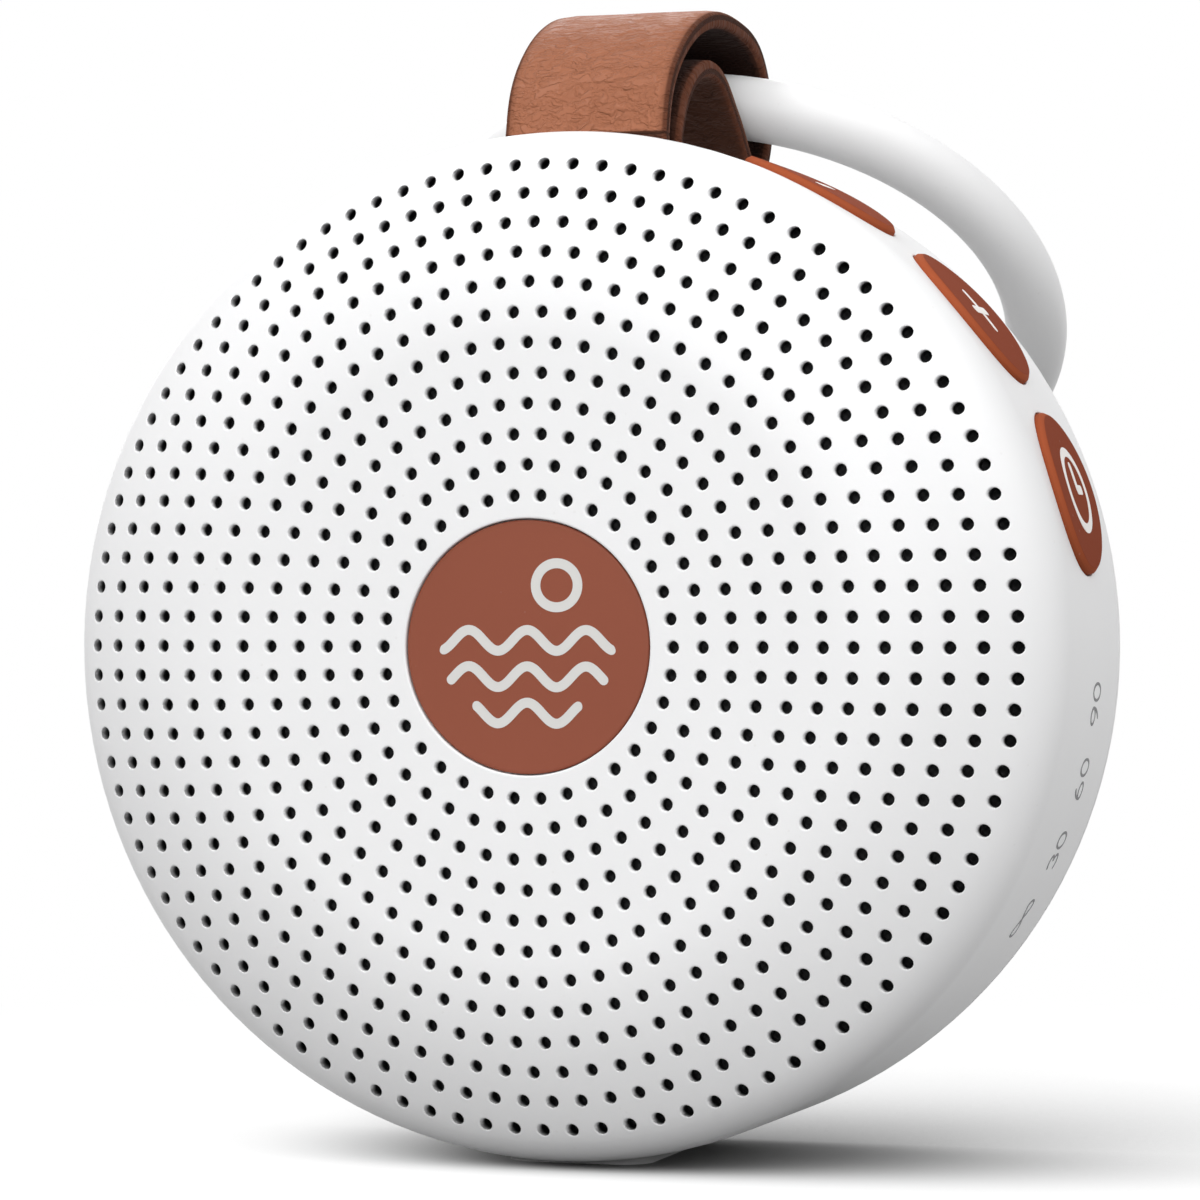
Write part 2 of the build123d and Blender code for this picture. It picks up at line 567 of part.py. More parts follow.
def back_cover():
    start = SPLIT_DEPTH + SEAM_GAP
    lean = BACK_CORNER / math.sqrt(2)
    inner_round = BACK_CORNER - BACK_WALL
    round_centre = (BODY_RADIUS - BACK_CORNER, BODY_DEPTH - BACK_CORNER)
    spigot_outer = INNER_RADIUS - SPIGOT_GAP
    spigot_inner = spigot_outer - SPIGOT_THICKNESS
    inner_lean = inner_round / math.sqrt(2)
    outline = [Line((0, BODY_DEPTH), (round_centre[0], BODY_DEPTH)),
               ThreePointArc((round_centre[0], BODY_DEPTH),
                             (round_centre[0] + lean, round_centre[1] + lean),
                             (BODY_RADIUS, round_centre[1])),
               Line((BODY_RADIUS, round_centre[1]), (BODY_RADIUS, start)),
               Line((BODY_RADIUS, start), (spigot_outer, start)),
               Line((spigot_outer, start), (spigot_outer, start - SPIGOT_LENGTH)),
               Line((spigot_outer, start - SPIGOT_LENGTH), (spigot_inner, start - SPIGOT_LENGTH)),
               Line((spigot_inner, start - SPIGOT_LENGTH), (spigot_inner, round_centre[1])),
               ThreePointArc((spigot_inner, round_centre[1]),
                             (spigot_inner - inner_round + inner_lean,
                              round_centre[1] + inner_lean),
                             (spigot_inner - inner_round, BACK_INNER)),
               Line((spigot_inner - inner_round, BACK_INNER), (0, BACK_INNER)),
               Line((0, BACK_INNER), (0, BODY_DEPTH))]
    cover = lathe(outline)
    for angle in POST_ANGLES:
        cover += rod(POST_RADIUS, SPLIT_DEPTH, BODY_DEPTH - JOIN, *polar(POST_CIRCLE, angle))
    for angle in POST_ANGLES:
        x, z = polar(POST_CIRCLE, angle)
        # the spigot gives way to the front cover's post
        cover -= rod(POST_RADIUS + SPIGOT_GAP, start - SPIGOT_LENGTH - CUT, SPLIT_DEPTH, x, z)
        cover -= screw_hole(POST_CIRCLE, angle, SCREW_CLEARANCE, SPLIT_DEPTH - CUT, BODY_DEPTH)
        cover -= rod(SCREW_HEAD + SCREW_CLEARANCE, BODY_DEPTH - COVER_HEAD_DEPTH,
                     BODY_DEPTH + CUT, x, z)
    bite = BOARD_SCREW_LENGTH - BOARD_THICKNESS + SCREW_END_GAP
    for angle in BOARD_POST_ANGLES:
        cover += rod(BOARD_POST_RADIUS, BOARD_BACK, BACK_INNER + JOIN,
                     *polar(BOARD_POST_CIRCLE, angle))
        cover -= screw_hole(BOARD_POST_CIRCLE, angle, THREAD_GAP, BOARD_BACK - CUT,
                            BOARD_BACK + bite)
    return cover


def cover_screws():
    return group(screw(*polar(POST_CIRCLE, angle), BODY_DEPTH - COVER_HEAD_DEPTH,
                       COVER_SCREW_LENGTH, -1) for angle in POST_ANGLES)


def rest_foot():
    foot = block(-FOOT_WIDTH / 2, FOOT_WIDTH / 2, FOOT_CENTRE_DEPTH - FOOT_LENGTH / 2,
                 FOOT_CENTRE_DEPTH + FOOT_LENGTH / 2, -AXIS_HEIGHT,
                 -AXIS_HEIGHT + FOOT_THICKNESS)
    return fillet(foot.edges().filter_by(Axis.Z), FOOT_CORNER)


# ---------------------------------------------------------------- buttons and switches
def button(angle):
    """Cap, flange and switch pocket, round a radial axis; its top follows the rim."""
    top = BODY_RADIUS + BUTTON_RISE
    radius = BUTTON_DIAMETER / 2
    cap = Pos(0, 0, FLANGE_BOTTOM + THROUGH / 2) * Cylinder(radius, THROUGH)
    cap &= Rot(0, 90, 0) * Cylinder(top, 4 * radius)
    cap = chamfer(cap.edges().group_by(Axis.Z)[-1], BUTTON_CHAMFER)
    cap += Pos(0, 0, (FLANGE_BOTTOM + FLANGE_TOP) / 2) * Cylinder(
        FLANGE_REACH, BUTTON_FLANGE_THICKNESS)
    cap -= Pos(0, 0, PLUNGER_TOP - THROUGH / 2) * Cylinder(BUTTON_POCKET / 2, THROUGH)
    return on_rim(angle, BUTTON_DEPTH) * cap


def plunger(angle):
    length = PLUNGER_RISE + PLUNGER_ROOT
    return on_rim(angle, BUTTON_DEPTH) * Pos(0, 0, PLUNGER_TOP - length / 2) * Cylinder(
        PLUNGER_DIAMETER / 2, length)


def switch_body(angle):
    body = Pos(0, 0, (SWITCH_BASE + SWITCH_TOP) / 2) * Box(SWITCH_SIZE, SWITCH_SIZE,
                                                           SWITCH_HEIGHT)
    well = PLUNGER_ROOT + BUTTON_TRAVEL + PLUNGER_GAP
    body -= Pos(0, 0, SWITCH_TOP - well / 2) * Cylinder(PLUNGER_DIAMETER / 2 + PLUNGER_GAP, well)
    return on_rim(angle, BUTTON_DEPTH) * body


def key_flex(arcs, tail):
    """Flexible circuit on the key walls, with a tail to the main board."""
    sheet = sector(FLEX_RADIUS, KEY_WALL_RADIUS, FLEX_START, FLEX_START + FLEX_BRIDGE,
                   (arcs[-1][0] + FLEX_OVERLAP, arcs[0][1] - FLEX_OVERLAP))
    for low, high in arcs:
        sheet += sector(FLEX_RADIUS, KEY_WALL_RADIUS, FLEX_START, FLEX_END,
                        (low + FLEX_EDGE, high - FLEX_EDGE))
    half = FLEX_TAIL_WIDTH / 2
    strip = on_rim(tail) * block(BOARD_FRONT - FLEX_THICKNESS, BOARD_FRONT, -half, half,
                                 BOARD_RADIUS - FLEX_TAIL_REACH,
                                 KEY_WALL_RADIUS + FLEX_THICKNESS / 2)
    return sheet + strip


def flex_connectors():
    length, width, height = FLEX_CONNECTOR
    back = BOARD_FRONT - FLEX_THICKNESS
    inner = BOARD_RADIUS - FLEX_TAIL_REACH + JOIN
    return group(on_rim(angle) * block(back - height, back, -length / 2, length / 2,
                                       inner, inner + width)
                 for angle in FLEX_TAIL_ANGLES.values())


def timer_leds():
    length, width, height = LED_SIZE
    return group(on_rim(angle, MARK_DEPTH) * Pos(0, 0, SWITCH_BASE + height / 2)
                 * Box(length, width, height) for angle in MARK_ANGLES)


def timer_light_guide():
    """Curved translucent strip inside the rim, with one rod down to each LED."""
    outer = INNER_RADIUS - GUIDE_GAP
    strip = sector(outer, outer - GUIDE_THICKNESS, MARK_DEPTH - GUIDE_WIDTH / 2,
                   MARK_DEPTH + GUIDE_WIDTH / 2, (MARK_ANGLES[-1] - GUIDE_SPREAD,
                                                  MARK_ANGLES[0] + GUIDE_SPREAD))
    low = SWITCH_BASE + LED_SIZE[2] + 2 * GUIDE_GAP
    high = outer - GUIDE_THICKNESS / 2
    for angle in MARK_ANGLES:
        strip += on_rim(angle, MARK_DEPTH) * Pos(0, 0, (low + high) / 2) * Cylinder(
            GUIDE_ROD_RADIUS, high - low)
    return strip


# ---------------------------------------------------------------- baffle and speaker
def speaker_baffle():
    platform_back = BAFFLE_PLATFORM + BAFFLE_THICKNESS
    rim_back = BAFFLE_RIM + BAFFLE_THICKNESS
    step_inner = BAFFLE_STEP_RADIUS - BAFFLE_THICKNESS
    plate = lathe_points([(BAFFLE_OPENING_RADIUS, BAFFLE_PLATFORM),
                          (BAFFLE_STEP_RADIUS, BAFFLE_PLATFORM),
                          (BAFFLE_STEP_RADIUS, BAFFLE_RIM),
                          (BAFFLE_RIM_RADIUS, BAFFLE_RIM),
                          (BAFFLE_RIM_RADIUS, rim_back),
                          (step_inner, rim_back),
                          (step_inner, platform_back),
                          (BAFFLE_OPENING_RADIUS, platform_back)])
    inner = KEY_WALL_RADIUS - KEY_WALL_THICKNESS
    for arc in (KEY_ARC_RIGHT, KEY_ARC_LIGHTS, KEY_ARC_LEFT):
        plate += sector(KEY_WALL_RADIUS, inner, rim_back - JOIN, KEY_WALL_END, arc)
    notch = FLEX_TAIL_WIDTH / 2 + FLEX_NOTCH_GAP
    for angle in FLEX_TAIL_ANGLES.values():
        plate -= on_rim(angle) * block(BOARD_FRONT - CUT, KEY_WALL_END + CUT, -notch, notch,
                                       inner - CUT, KEY_WALL_RADIUS + CUT)
    for angle in BAFFLE_ANGLES:
        plate -= screw_hole(BAFFLE_BOSS_CIRCLE, angle, SCREW_CLEARANCE, BAFFLE_RIM - CUT,
                            rim_back + CUT)
    for angle in SPEAKER_EAR_ANGLES:
        plate -= screw_hole(SPEAKER_EAR_CIRCLE, angle, THREAD_GAP, BAFFLE_PLATFORM - CUT,
                            platform_back + CUT)
    return plate


def baffle_screws():
    return group(screw(*polar(BAFFLE_BOSS_CIRCLE, angle), BAFFLE_RIM + BAFFLE_THICKNESS,
                       BAFFLE_SCREW_LENGTH, -1) for angle in BAFFLE_ANGLES)


def speaker_screws():
    return group(screw(*polar(SPEAKER_EAR_CIRCLE, angle), SPEAKER_FRONT,
                       SPEAKER_SCREW_LENGTH, 1) for angle in SPEAKER_EAR_ANGLES)


def speaker_basket():
    flange_back = SPEAKER_FRONT + SPEAKER_FLANGE_THICKNESS
    floor = TOP_PLATE_FRONT - BASKET_WALL
    hub = COIL_OUTER_RADIUS + COIL_GAP
    bowl = lathe_points([(SURROUND_OUTER_RADIUS - SURROUND_LAP, SPEAKER_FRONT),
                         (SPEAKER_FLANGE_RADIUS, SPEAKER_FRONT),
                         (SPEAKER_FLANGE_RADIUS, flange_back),
                         (BASKET_MOUTH_RADIUS, flange_back),
                         (BASKET_BOTTOM_RADIUS, TOP_PLATE_FRONT),
                         (hub, TOP_PLATE_FRONT),
                         (hub, floor),
                         (BASKET_BOTTOM_RADIUS - BASKET_WALL, floor),
                         (BASKET_MOUTH_RADIUS - BASKET_MOUTH_WALL, flange_back)])
    window_start = flange_back + BASKET_WALL
    window_end = floor - BASKET_WALL
    for number in range(BASKET_WINDOWS):
        bowl -= on_rim(360 * number / BASKET_WINDOWS) * block(
            window_start, window_end, -BASKET_WINDOW_WIDTH / 2, BASKET_WINDOW_WIDTH / 2,
            BASKET_BOTTOM_RADIUS - 2 * BASKET_WALL, SPEAKER_FLANGE_RADIUS)
    for angle in SPEAKER_EAR_ANGLES:
        ear = rod(SPEAKER_EAR_RADIUS, SPEAKER_FRONT, flange_back,
                  *polar(SPEAKER_EAR_CIRCLE, angle))
        bowl += ear - rod(BASKET_MOUTH_RADIUS, 0, BODY_DEPTH)
        bowl -= screw_hole(SPEAKER_EAR_CIRCLE, angle, THREAD_GAP, SPEAKER_FRONT - CUT,
                           flange_back + CUT)
    return bowl


def speaker_top_plate():
    return tube(MAGNET_RADIUS, COIL_OUTER_RADIUS + COIL_GAP, TOP_PLATE_FRONT, MAGNET_FRONT)


def speaker_magnet():
    return tube(MAGNET_RADIUS, MAGNET_BORE, MAGNET_FRONT, YOKE_FRONT)


def speaker_yoke():
    plate = rod(MAGNET_RADIUS - YOKE_INSET, YOKE_FRONT, YOKE_FRONT + YOKE_THICKNESS)
    return plate + rod(POLE_RADIUS, TOP_PLATE_FRONT, YOKE_FRONT + JOIN)


def speaker_cone():
    lip = CONE_MOUTH_RADIUS - SURROUND_THICKNESS
    return lathe_points([(CONE_MOUTH_RADIUS, SPEAKER_FRONT),
                         (CONE_MOUTH_RADIUS, SPEAKER_FRONT + CONE_THICKNESS),
                         (COIL_OUTER_RADIUS, CONE_BACK + CONE_THICKNESS),
                         (COIL_OUTER_RADIUS, CONE_BACK),
                         (lip, SPEAKER_FRONT)])


def speaker_voice_coil():
    return tube(COIL_OUTER_RADIUS, COIL_INNER_RADIUS, CONE_BACK, CONE_BACK + COIL_LENGTH)


def speaker_dust_cap():
    """Shallow spherical cap whose rim sits on the cone round the coil."""
    radius = COIL_OUTER_RADIUS + DUST_CAP_OVERHANG
    rim = CONE_BACK - DUST_CAP_OVERHANG * CONE_SLOPE
    sphere = (radius ** 2 + DUST_CAP_RISE ** 2) / (2 * DUST_CAP_RISE)
    shell = Sphere(sphere) - Sphere(sphere - CONE_THICKNESS)
    cap = Pos(0, rim - DUST_CAP_RISE + sphere, 0) * shell & rod(radius, 0, CONE_BACK)
    cone_side = lathe_points([(0, CONE_BACK), (COIL_OUTER_RADIUS, CONE_BACK),
                              (CONE_MOUTH_RADIUS - SURROUND_THICKNESS, SPEAKER_FRONT),
                              (CONE_MOUTH_RADIUS, BODY_DEPTH), (0, BODY_DEPTH)])
    return cap - cone_side


def speaker_surround():
    """Half-roll of rubber between the cone's edge and the flange."""
    inner = CONE_MOUTH_RADIUS
    outer = SURROUND_OUTER_RADIUS - SURROUND_LAP
    middle = (inner + outer) / 2
    half = (outer - inner) / 2
    crest = half + SURROUND_THICKNESS
    return lathe([Line((middle - crest, SPEAKER_FRONT), (middle - half, SPEAKER_FRONT)),
                  ThreePointArc((middle - half, SPEAKER_FRONT), (middle, SPEAKER_FRONT - half),
                                (middle + half, SPEAKER_FRONT)),
                  Line((middle + half, SPEAKER_FRONT), (middle + crest, SPEAKER_FRONT)),
                  ThreePointArc((middle + crest, SPEAKER_FRONT),
                                (middle, SPEAKER_FRONT - crest),
                                (middle - crest, SPEAKER_FRONT))])


def speaker_spider():
    """Corrugated disc that centres the coil."""
    inner = COIL_OUTER_RADIUS + SPIDER_BORE_GAP
    outer = BASKET_BOTTOM_RADIUS - BASKET_WALL
    depth = TOP_PLATE_FRONT - BASKET_WALL - SPIDER_FOLD_HEIGHT - SPIDER_THICKNESS
    steps = 2 * SPIDER_FOLDS + 1
    front = []
    for number in range(steps + 1):
        radius = inner + (outer - inner) * number / steps
        fold = SPIDER_FOLD_HEIGHT if number % 2 else 0
        front.append((radius, depth + fold))
    back = [(radius, y + SPIDER_THICKNESS) for radius, y in reversed(front)]
    return lathe_points(front + back)


def foam_gasket():
    start = WALL + CLOTH_GAP + CLOTH_THICKNESS + GASKET_GAP
    outer = min(SPEAKER_FLANGE_RADIUS, FLAT_RADIUS)
    return tube(outer, outer - GASKET_WIDTH, start, SPEAKER_FRONT)


def terminal_strip():
    width, thickness, length = TERMINAL_SIZE
    return block(-width / 2, width / 2, TERMINAL_FRONT, TERMINAL_FRONT + length,
                 TERMINAL_HEIGHT - thickness, TERMINAL_HEIGHT)


# ---------------------------------------------------------------- electronics
def main_board():
    board = rod(BOARD_RADIUS, BOARD_FRONT, BOARD_BACK)
    half = BOARD_TONGUE_WIDTH / 2
    board += on_rim(USB_ANGLE) * block(BOARD_FRONT, BOARD_BACK, -half, half,
                                       BOARD_RADIUS / 2, INNER_RADIUS - USB_INSET - CUT)
    for angle in BOARD_POST_ANGLES:
        board -= screw_hole(BOARD_POST_CIRCLE, angle, SCREW_CLEARANCE, BOARD_FRONT - CUT,
                            BOARD_BACK + CUT)
    return board


def board_screws():
    return group(screw(*polar(BOARD_POST_CIRCLE, angle), BOARD_FRONT, BOARD_SCREW_LENGTH, 1)
                 for angle in BOARD_POST_ANGLES)


def chip(name):
    x, z, width, height, thickness = CHIPS[name]
    return block(x - width / 2, x + width / 2, BOARD_FRONT - thickness, BOARD_FRONT,
                 z - height / 2, z + height / 2)


def capacitors():
    return group(rod(CAPACITOR_RADIUS, BOARD_FRONT - CAPACITOR_HEIGHT, BOARD_FRONT,
                     *polar(BOARD_POST_CIRCLE - inset, angle)) for inset, angle in CAPACITORS)


def usb_socket():
    """Metal shell with its contact tongue, lying on the board's front face."""
    shell = extrude(usb_outline(0), USB_LENGTH)
    shell -= Pos(0, 0, USB_BACK_WALL) * extrude(usb_outline(-USB_SHELL), USB_LENGTH)
    tongue = USB_LENGTH - USB_TONGUE_SHORT
    shell += Pos(0, 0, tongue / 2) * Box(USB_TONGUE, USB_WIDTH - 2 * USB_TONGUE_MARGIN, tongue)
    back = INNER_RADIUS - USB_INSET - USB_LENGTH
    return on_rim(USB_ANGLE, USB_DEPTH) * Pos(0, 0, back) * shell


def battery_cell():
    width, thickness, height = BATTERY_SIZE
    back = BACK_INNER - TAPE_THICKNESS
    cell = block(-width / 2, width / 2, back - thickness, back, -height / 2, height / 2)
    return fillet(cell.edges().filter_by(Axis.Z), BATTERY_ROUND)


def battery_tape():
    width, _, height = BATTERY_SIZE
    half_width = width / 2 - TAPE_MARGIN
    half_height = height / 2 - TAPE_MARGIN
    return block(-half_width, half_width, BACK_INNER - TAPE_THICKNESS, BACK_INNER,
                 -half_height, half_height)


def battery_connector():
    width, thickness, height = CONNECTOR_SIZE
    x, z = CONNECTOR_PLACE
    return block(x - width / 2, x + width / 2, BOARD_BACK, BOARD_BACK + thickness,
                 z - height / 2, z + height / 2)


def battery_leads():
    """Two short wires from the cell's top edge up to its connector."""
    x, z = CONNECTOR_PLACE
    depth = BOARD_BACK + CONNECTOR_SIZE[1] / 2
    low = BATTERY_SIZE[2] / 2
    high = z - CONNECTOR_SIZE[2] / 2
    return group(Pos(x + side * LEAD_SPACING / 2, depth, (low + high) / 2)
                 * Cylinder(LEAD_RADIUS, high - low) for side in (-1, 1))


def speaker_leads():
    """Two straight wires from the speaker's terminals back to the board."""
    start = TERMINAL_FRONT + TERMINAL_SIZE[2]
    height = TERMINAL_HEIGHT - TERMINAL_SIZE[1] / 2
    return group(rod(LEAD_RADIUS, start, BOARD_FRONT, side * LEAD_SPACING / 2, height)
                 for side in (-1, 1))


# ---------------------------------------------------------------- strap and ring
def strap_outline(middle_line, shift):
    """Closed face whose edge runs beside the strap's middle line, shifted outwards."""
    front = STRAP_FRONT_LEG - shift
    back = STRAP_BACK_LEG + shift
    beside = []
    for number in range(1, STRAP_SAMPLES):
        spot = middle_line @ (number / STRAP_SAMPLES)
        along = middle_line % (number / STRAP_SAMPLES)
        beside.append((spot.X - shift * along.Y, spot.Y + shift * along.X))
    free = Spline((front, NECK_LOW), *beside, (back, NECK_LOW))
    return make_face([free, Line((back, NECK_LOW), (back, PIN_HEIGHT)),
                      ThreePointArc((back, PIN_HEIGHT),
                                    (PIN_DEPTH, PIN_HEIGHT - (back - front) / 2),
                                    (front, PIN_HEIGHT)),
                      Line((front, PIN_HEIGHT), (front, NECK_LOW))])


def strap_pieces():
    """One closed band round the pin, out of the slot and back over the ring, cut at its neck."""
    free = [(depth, BODY_RADIUS + height) for depth, height in STRAP_LINE]
    middle_line = Spline((STRAP_FRONT_LEG, NECK_LOW), *free, (STRAP_BACK_LEG, NECK_LOW))
    section = (strap_outline(middle_line, STRAP_THICKNESS / 2)
               - strap_outline(middle_line, -STRAP_THICKNESS / 2))
    side_on = Plane(origin=(0, 0, 0), x_dir=(0, 1, 0), z_dir=(1, 0, 0)).location
    band = extrude(side_on * section, STRAP_WIDTH / 2, both=True)
    held_zone = block(-STRAP_WIDTH, STRAP_WIDTH, 0, NECK_BACK, 0, NECK_LOW)
    neck_zone = block(-STRAP_WIDTH, STRAP_WIDTH, 0, NECK_BACK, NECK_LOW, NECK_HIGH)
    return band & held_zone, band & neck_zone, band - held_zone - neck_zone


def strap_pin():
    return Pos(0, PIN_DEPTH, PIN_HEIGHT) * Rot(0, 90, 0) * Cylinder(PIN_RADIUS, 2 * BRACKET_FAR)


def carry_ring():
    """Plain ring whose tube passes through the strap's loop."""
    depth, height = RING_PIVOT
    reach = RING_DIAMETER / 2
    turn = math.radians(RING_DROP)
    centre = (0, depth + reach * math.cos(turn),
              BODY_RADIUS + height - reach * math.sin(turn))
    lean = Plane(origin=centre, x_dir=(1, 0, 0), z_dir=(0, math.sin(turn), math.cos(turn)))
    return lean.location * Torus(reach, RING_TUBE / 2)


# ---------------------------------------------------------------- write the nodes
def main():
    os.makedirs("parts", exist_ok=True)
    save("front_cover", front_cover())
    save("emblem_plate", emblem_plate())
    save("acoustic_cloth", acoustic_cloth())
    save("back_cover", back_cover())
    save("cover_screws", cover_screws())
    save("rest_foot", rest_foot())
    for name, angle in BUTTONS.items():
        save(name + "_button", button(angle))
        save(name + "_plunger", plunger(angle))
    save("switch_bodies", group(switch_body(angle) for angle in BUTTONS.values()))
    save("right_key_flex", key_flex((KEY_ARC_RIGHT, KEY_ARC_LIGHTS), FLEX_TAIL_ANGLES["right"]))
    save("left_key_flex", key_flex((KEY_ARC_LEFT,), FLEX_TAIL_ANGLES["left"]))
    save("flex_connectors", flex_connectors())
    save("timer_leds", timer_leds())
    save("timer_light_guide", timer_light_guide())
    save("speaker_baffle", speaker_baffle())
    save("baffle_screws", baffle_screws())
    save("speaker_screws", speaker_screws())
    save("speaker_basket", speaker_basket())
    save("speaker_top_plate", speaker_top_plate())
    save("speaker_magnet", speaker_magnet())
    save("speaker_yoke", speaker_yoke())
    save("speaker_cone", speaker_cone())
    save("speaker_voice_coil", speaker_voice_coil())
    save("speaker_dust_cap", speaker_dust_cap())
    save("speaker_surround", speaker_surround())
    save("speaker_spider", speaker_spider())
    save("foam_gasket", foam_gasket())
    save("terminal_strip", terminal_strip())
    save("speaker_leads", speaker_leads())
    save("main_board", main_board())
    save("board_screws", board_screws())
    for name in CHIPS:
        save(name, chip(name))
    save("board_capacitors", capacitors())
    save("usb_socket", usb_socket())
    save("battery_cell", battery_cell())
    save("battery_tape", battery_tape())
    save("battery_connector", battery_connector())
    save("battery_leads", battery_leads())
    root, neck, free = strap_pieces()
    save("strap_root", root)
    save("strap_neck", neck)
    save("strap_loop", free)
    save("strap_pin", strap_pin())
    save("carry_ring", carry_ring())


main()
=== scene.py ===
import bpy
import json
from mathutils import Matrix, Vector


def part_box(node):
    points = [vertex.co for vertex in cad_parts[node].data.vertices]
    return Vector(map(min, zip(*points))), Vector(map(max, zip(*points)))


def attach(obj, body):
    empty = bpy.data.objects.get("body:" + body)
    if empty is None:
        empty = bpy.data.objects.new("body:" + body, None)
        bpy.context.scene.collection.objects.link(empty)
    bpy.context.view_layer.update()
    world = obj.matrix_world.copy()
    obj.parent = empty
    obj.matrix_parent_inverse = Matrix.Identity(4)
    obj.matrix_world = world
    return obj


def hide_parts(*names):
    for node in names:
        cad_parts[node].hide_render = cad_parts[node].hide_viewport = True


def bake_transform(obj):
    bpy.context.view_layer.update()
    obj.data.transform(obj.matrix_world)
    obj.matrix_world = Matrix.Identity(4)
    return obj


bl_info = {
    "name": "White noise sound machine",
    "version": (1, 0, 0),
    "blender": (4, 5, 0),
    "location": "View3D > Sidebar > Sound machine",
    "description": "Dresses a round, perforated sound machine with its buttons, leather loop and ring",
    "category": "Object",
}

import json
import math

import bmesh
import bpy
import numpy as np
from mathutils import Vector

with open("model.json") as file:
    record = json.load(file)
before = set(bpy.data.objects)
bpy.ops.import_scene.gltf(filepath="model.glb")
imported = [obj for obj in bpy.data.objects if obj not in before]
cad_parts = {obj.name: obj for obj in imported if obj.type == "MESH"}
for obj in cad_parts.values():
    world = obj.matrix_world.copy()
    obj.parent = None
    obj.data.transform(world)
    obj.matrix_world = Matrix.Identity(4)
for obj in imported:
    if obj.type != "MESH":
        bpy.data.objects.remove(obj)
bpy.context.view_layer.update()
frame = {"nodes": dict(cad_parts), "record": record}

MM = 0.001
FULL_TURN = 2 * math.pi
WELD = 0.0008 * MM              # points closer than this become one
SHARP = 50.0                    # degrees between faces from which an edge stays sharp
HALFWAY = 0.3                   # a rounding's middle point, as a share of its radius
PRINT_PROUD = 0.02 * MM         # printed lines stand this far out of their surface
PRINT_SUNK = 0.03 * MM          # and reach this far into it
PRINT_STEP = 0.16 * MM          # about the step along a printed line
OVAL_STEPS = 40
COLUMN_DEGREES = 2.5            # about the width of a column of a band round the drum

# ------------------------------------------------------------------ places read from the frame
COVER_LOW, COVER_HIGH = np.array(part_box("front_cover"), float)
BACK_LOW, BACK_HIGH = np.array(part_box("back_cover"), float)
RING_LOW, RING_HIGH = np.array(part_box("carry_ring"), float)
FOOT_LOW, FOOT_HIGH = np.array(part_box("rest_foot"), float)
PIN_LOW, PIN_HIGH = np.array(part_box("strap_pin"), float)
SOCKET_LOW, SOCKET_HIGH = np.array(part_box("usb_socket"), float)

BODY_RADIUS = (COVER_HIGH[0] - COVER_LOW[0]) / 2
AXIS_X = (COVER_HIGH[0] + COVER_LOW[0]) / 2
AXIS_Z = (COVER_HIGH[2] + COVER_LOW[2]) / 2
FRONT_Y = COVER_LOW[1]
SEAM_DEPTH = COVER_HIGH[1] - FRONT_Y
BODY_DEPTH = BACK_HIGH[1] - FRONT_Y
SPIGOT_FRONT = BACK_LOW[1] - FRONT_Y

# degrees round the drum's axis, from +X towards +Z
KEY_ANGLES = {"minus": 62.503, "plus": 39.898, "timer": 17.293, "power": 140.0}
STRAP_ANGLE = 90.0
SOCKET_ANGLE = 180.0
FOOT_ANGLE = 270.0
POST_ANGLES = (1.07, 110.0, 200.0, 290.0)
MARK_ANGLES = (-6.4, -14.9, -23.4, -31.9)


# ------------------------------------------------------------------ sizes and colours to change
def length(name, description, millimetres):
    """A length property whose default is given in millimetres."""
    return bpy.props.FloatProperty(name=name, description=description, default=millimetres * MM,
                                   precision=5, subtype="DISTANCE", unit="LENGTH")


def colour(name, description, value):
    """A colour property in linear red, green and blue."""
    return bpy.props.FloatVectorProperty(name=name, description=description, default=value,
                                         min=0.0, max=1.0, size=3, subtype="COLOR")


def count(name, description, value):
    """A whole number of at least one."""
    return bpy.props.IntProperty(name=name, description=description, default=value, min=1)


def power(name, description, watts):
    """The power of a lamp."""
    return bpy.props.FloatProperty(name=name, description=description, default=watts, min=0.0,
                                   unit="POWER")


class ShellSizes(bpy.types.PropertyGroup):
    """The two white covers."""
    wall: length("Wall", "Thickness of the covers", 1.8)
    draft: length("Draft", "How much narrower the rim is where the front curve ends", 0.1)
    flat_radius: length("Flat radius", "Radius of the flat middle of the front", 28.4)
    crown_arc: length("Crown arc", "Radius of the wide arc outside the flat", 28.3)
    crown_turn: bpy.props.FloatProperty(name="Crown turn", description="Angle the wide arc turns",
                                        default=math.radians(34.4), subtype="ANGLE")
    hole: length("Hole", "Diameter of a grille hole", 1.2)
    hole_edge: length("Hole edge", "Width of the rounding at a hole's rim", 0.07)
    first_ring: length("First ring", "Radius of the innermost ring of holes", 13.8)
    pitch: length("Pitch", "Distance from one ring of holes to the next", 2.775)
    rings: count("Rings", "Number of rings of holes", 12)
    first_count: count("First count", "Holes in the innermost ring", 34)
    more: count("More", "Holes that each ring has over the one inside it", 6)
    back_round: length("Back round", "Rounding of the back edge", 4.6)
    seam: length("Seam", "Gap between the two covers", 0.15)
    edge: length("Edge", "Rounding of the openings and the seam", 0.12)
    well: length("Well", "Radius of a screw well in the back", 2.1)
    well_depth: length("Well depth", "Depth of a screw well", 2.6)
    well_circle: length("Well circle", "Radius of the circle of screw wells", 41.0)
    white: colour("White", "Colour of the covers", (0.845, 0.845, 0.85))
    # painted shade: the holes' walls are painted this dark below the first millimetre
    bore: colour("Hole colour", "Colour deep inside the holes", (0.012, 0.012, 0.013))


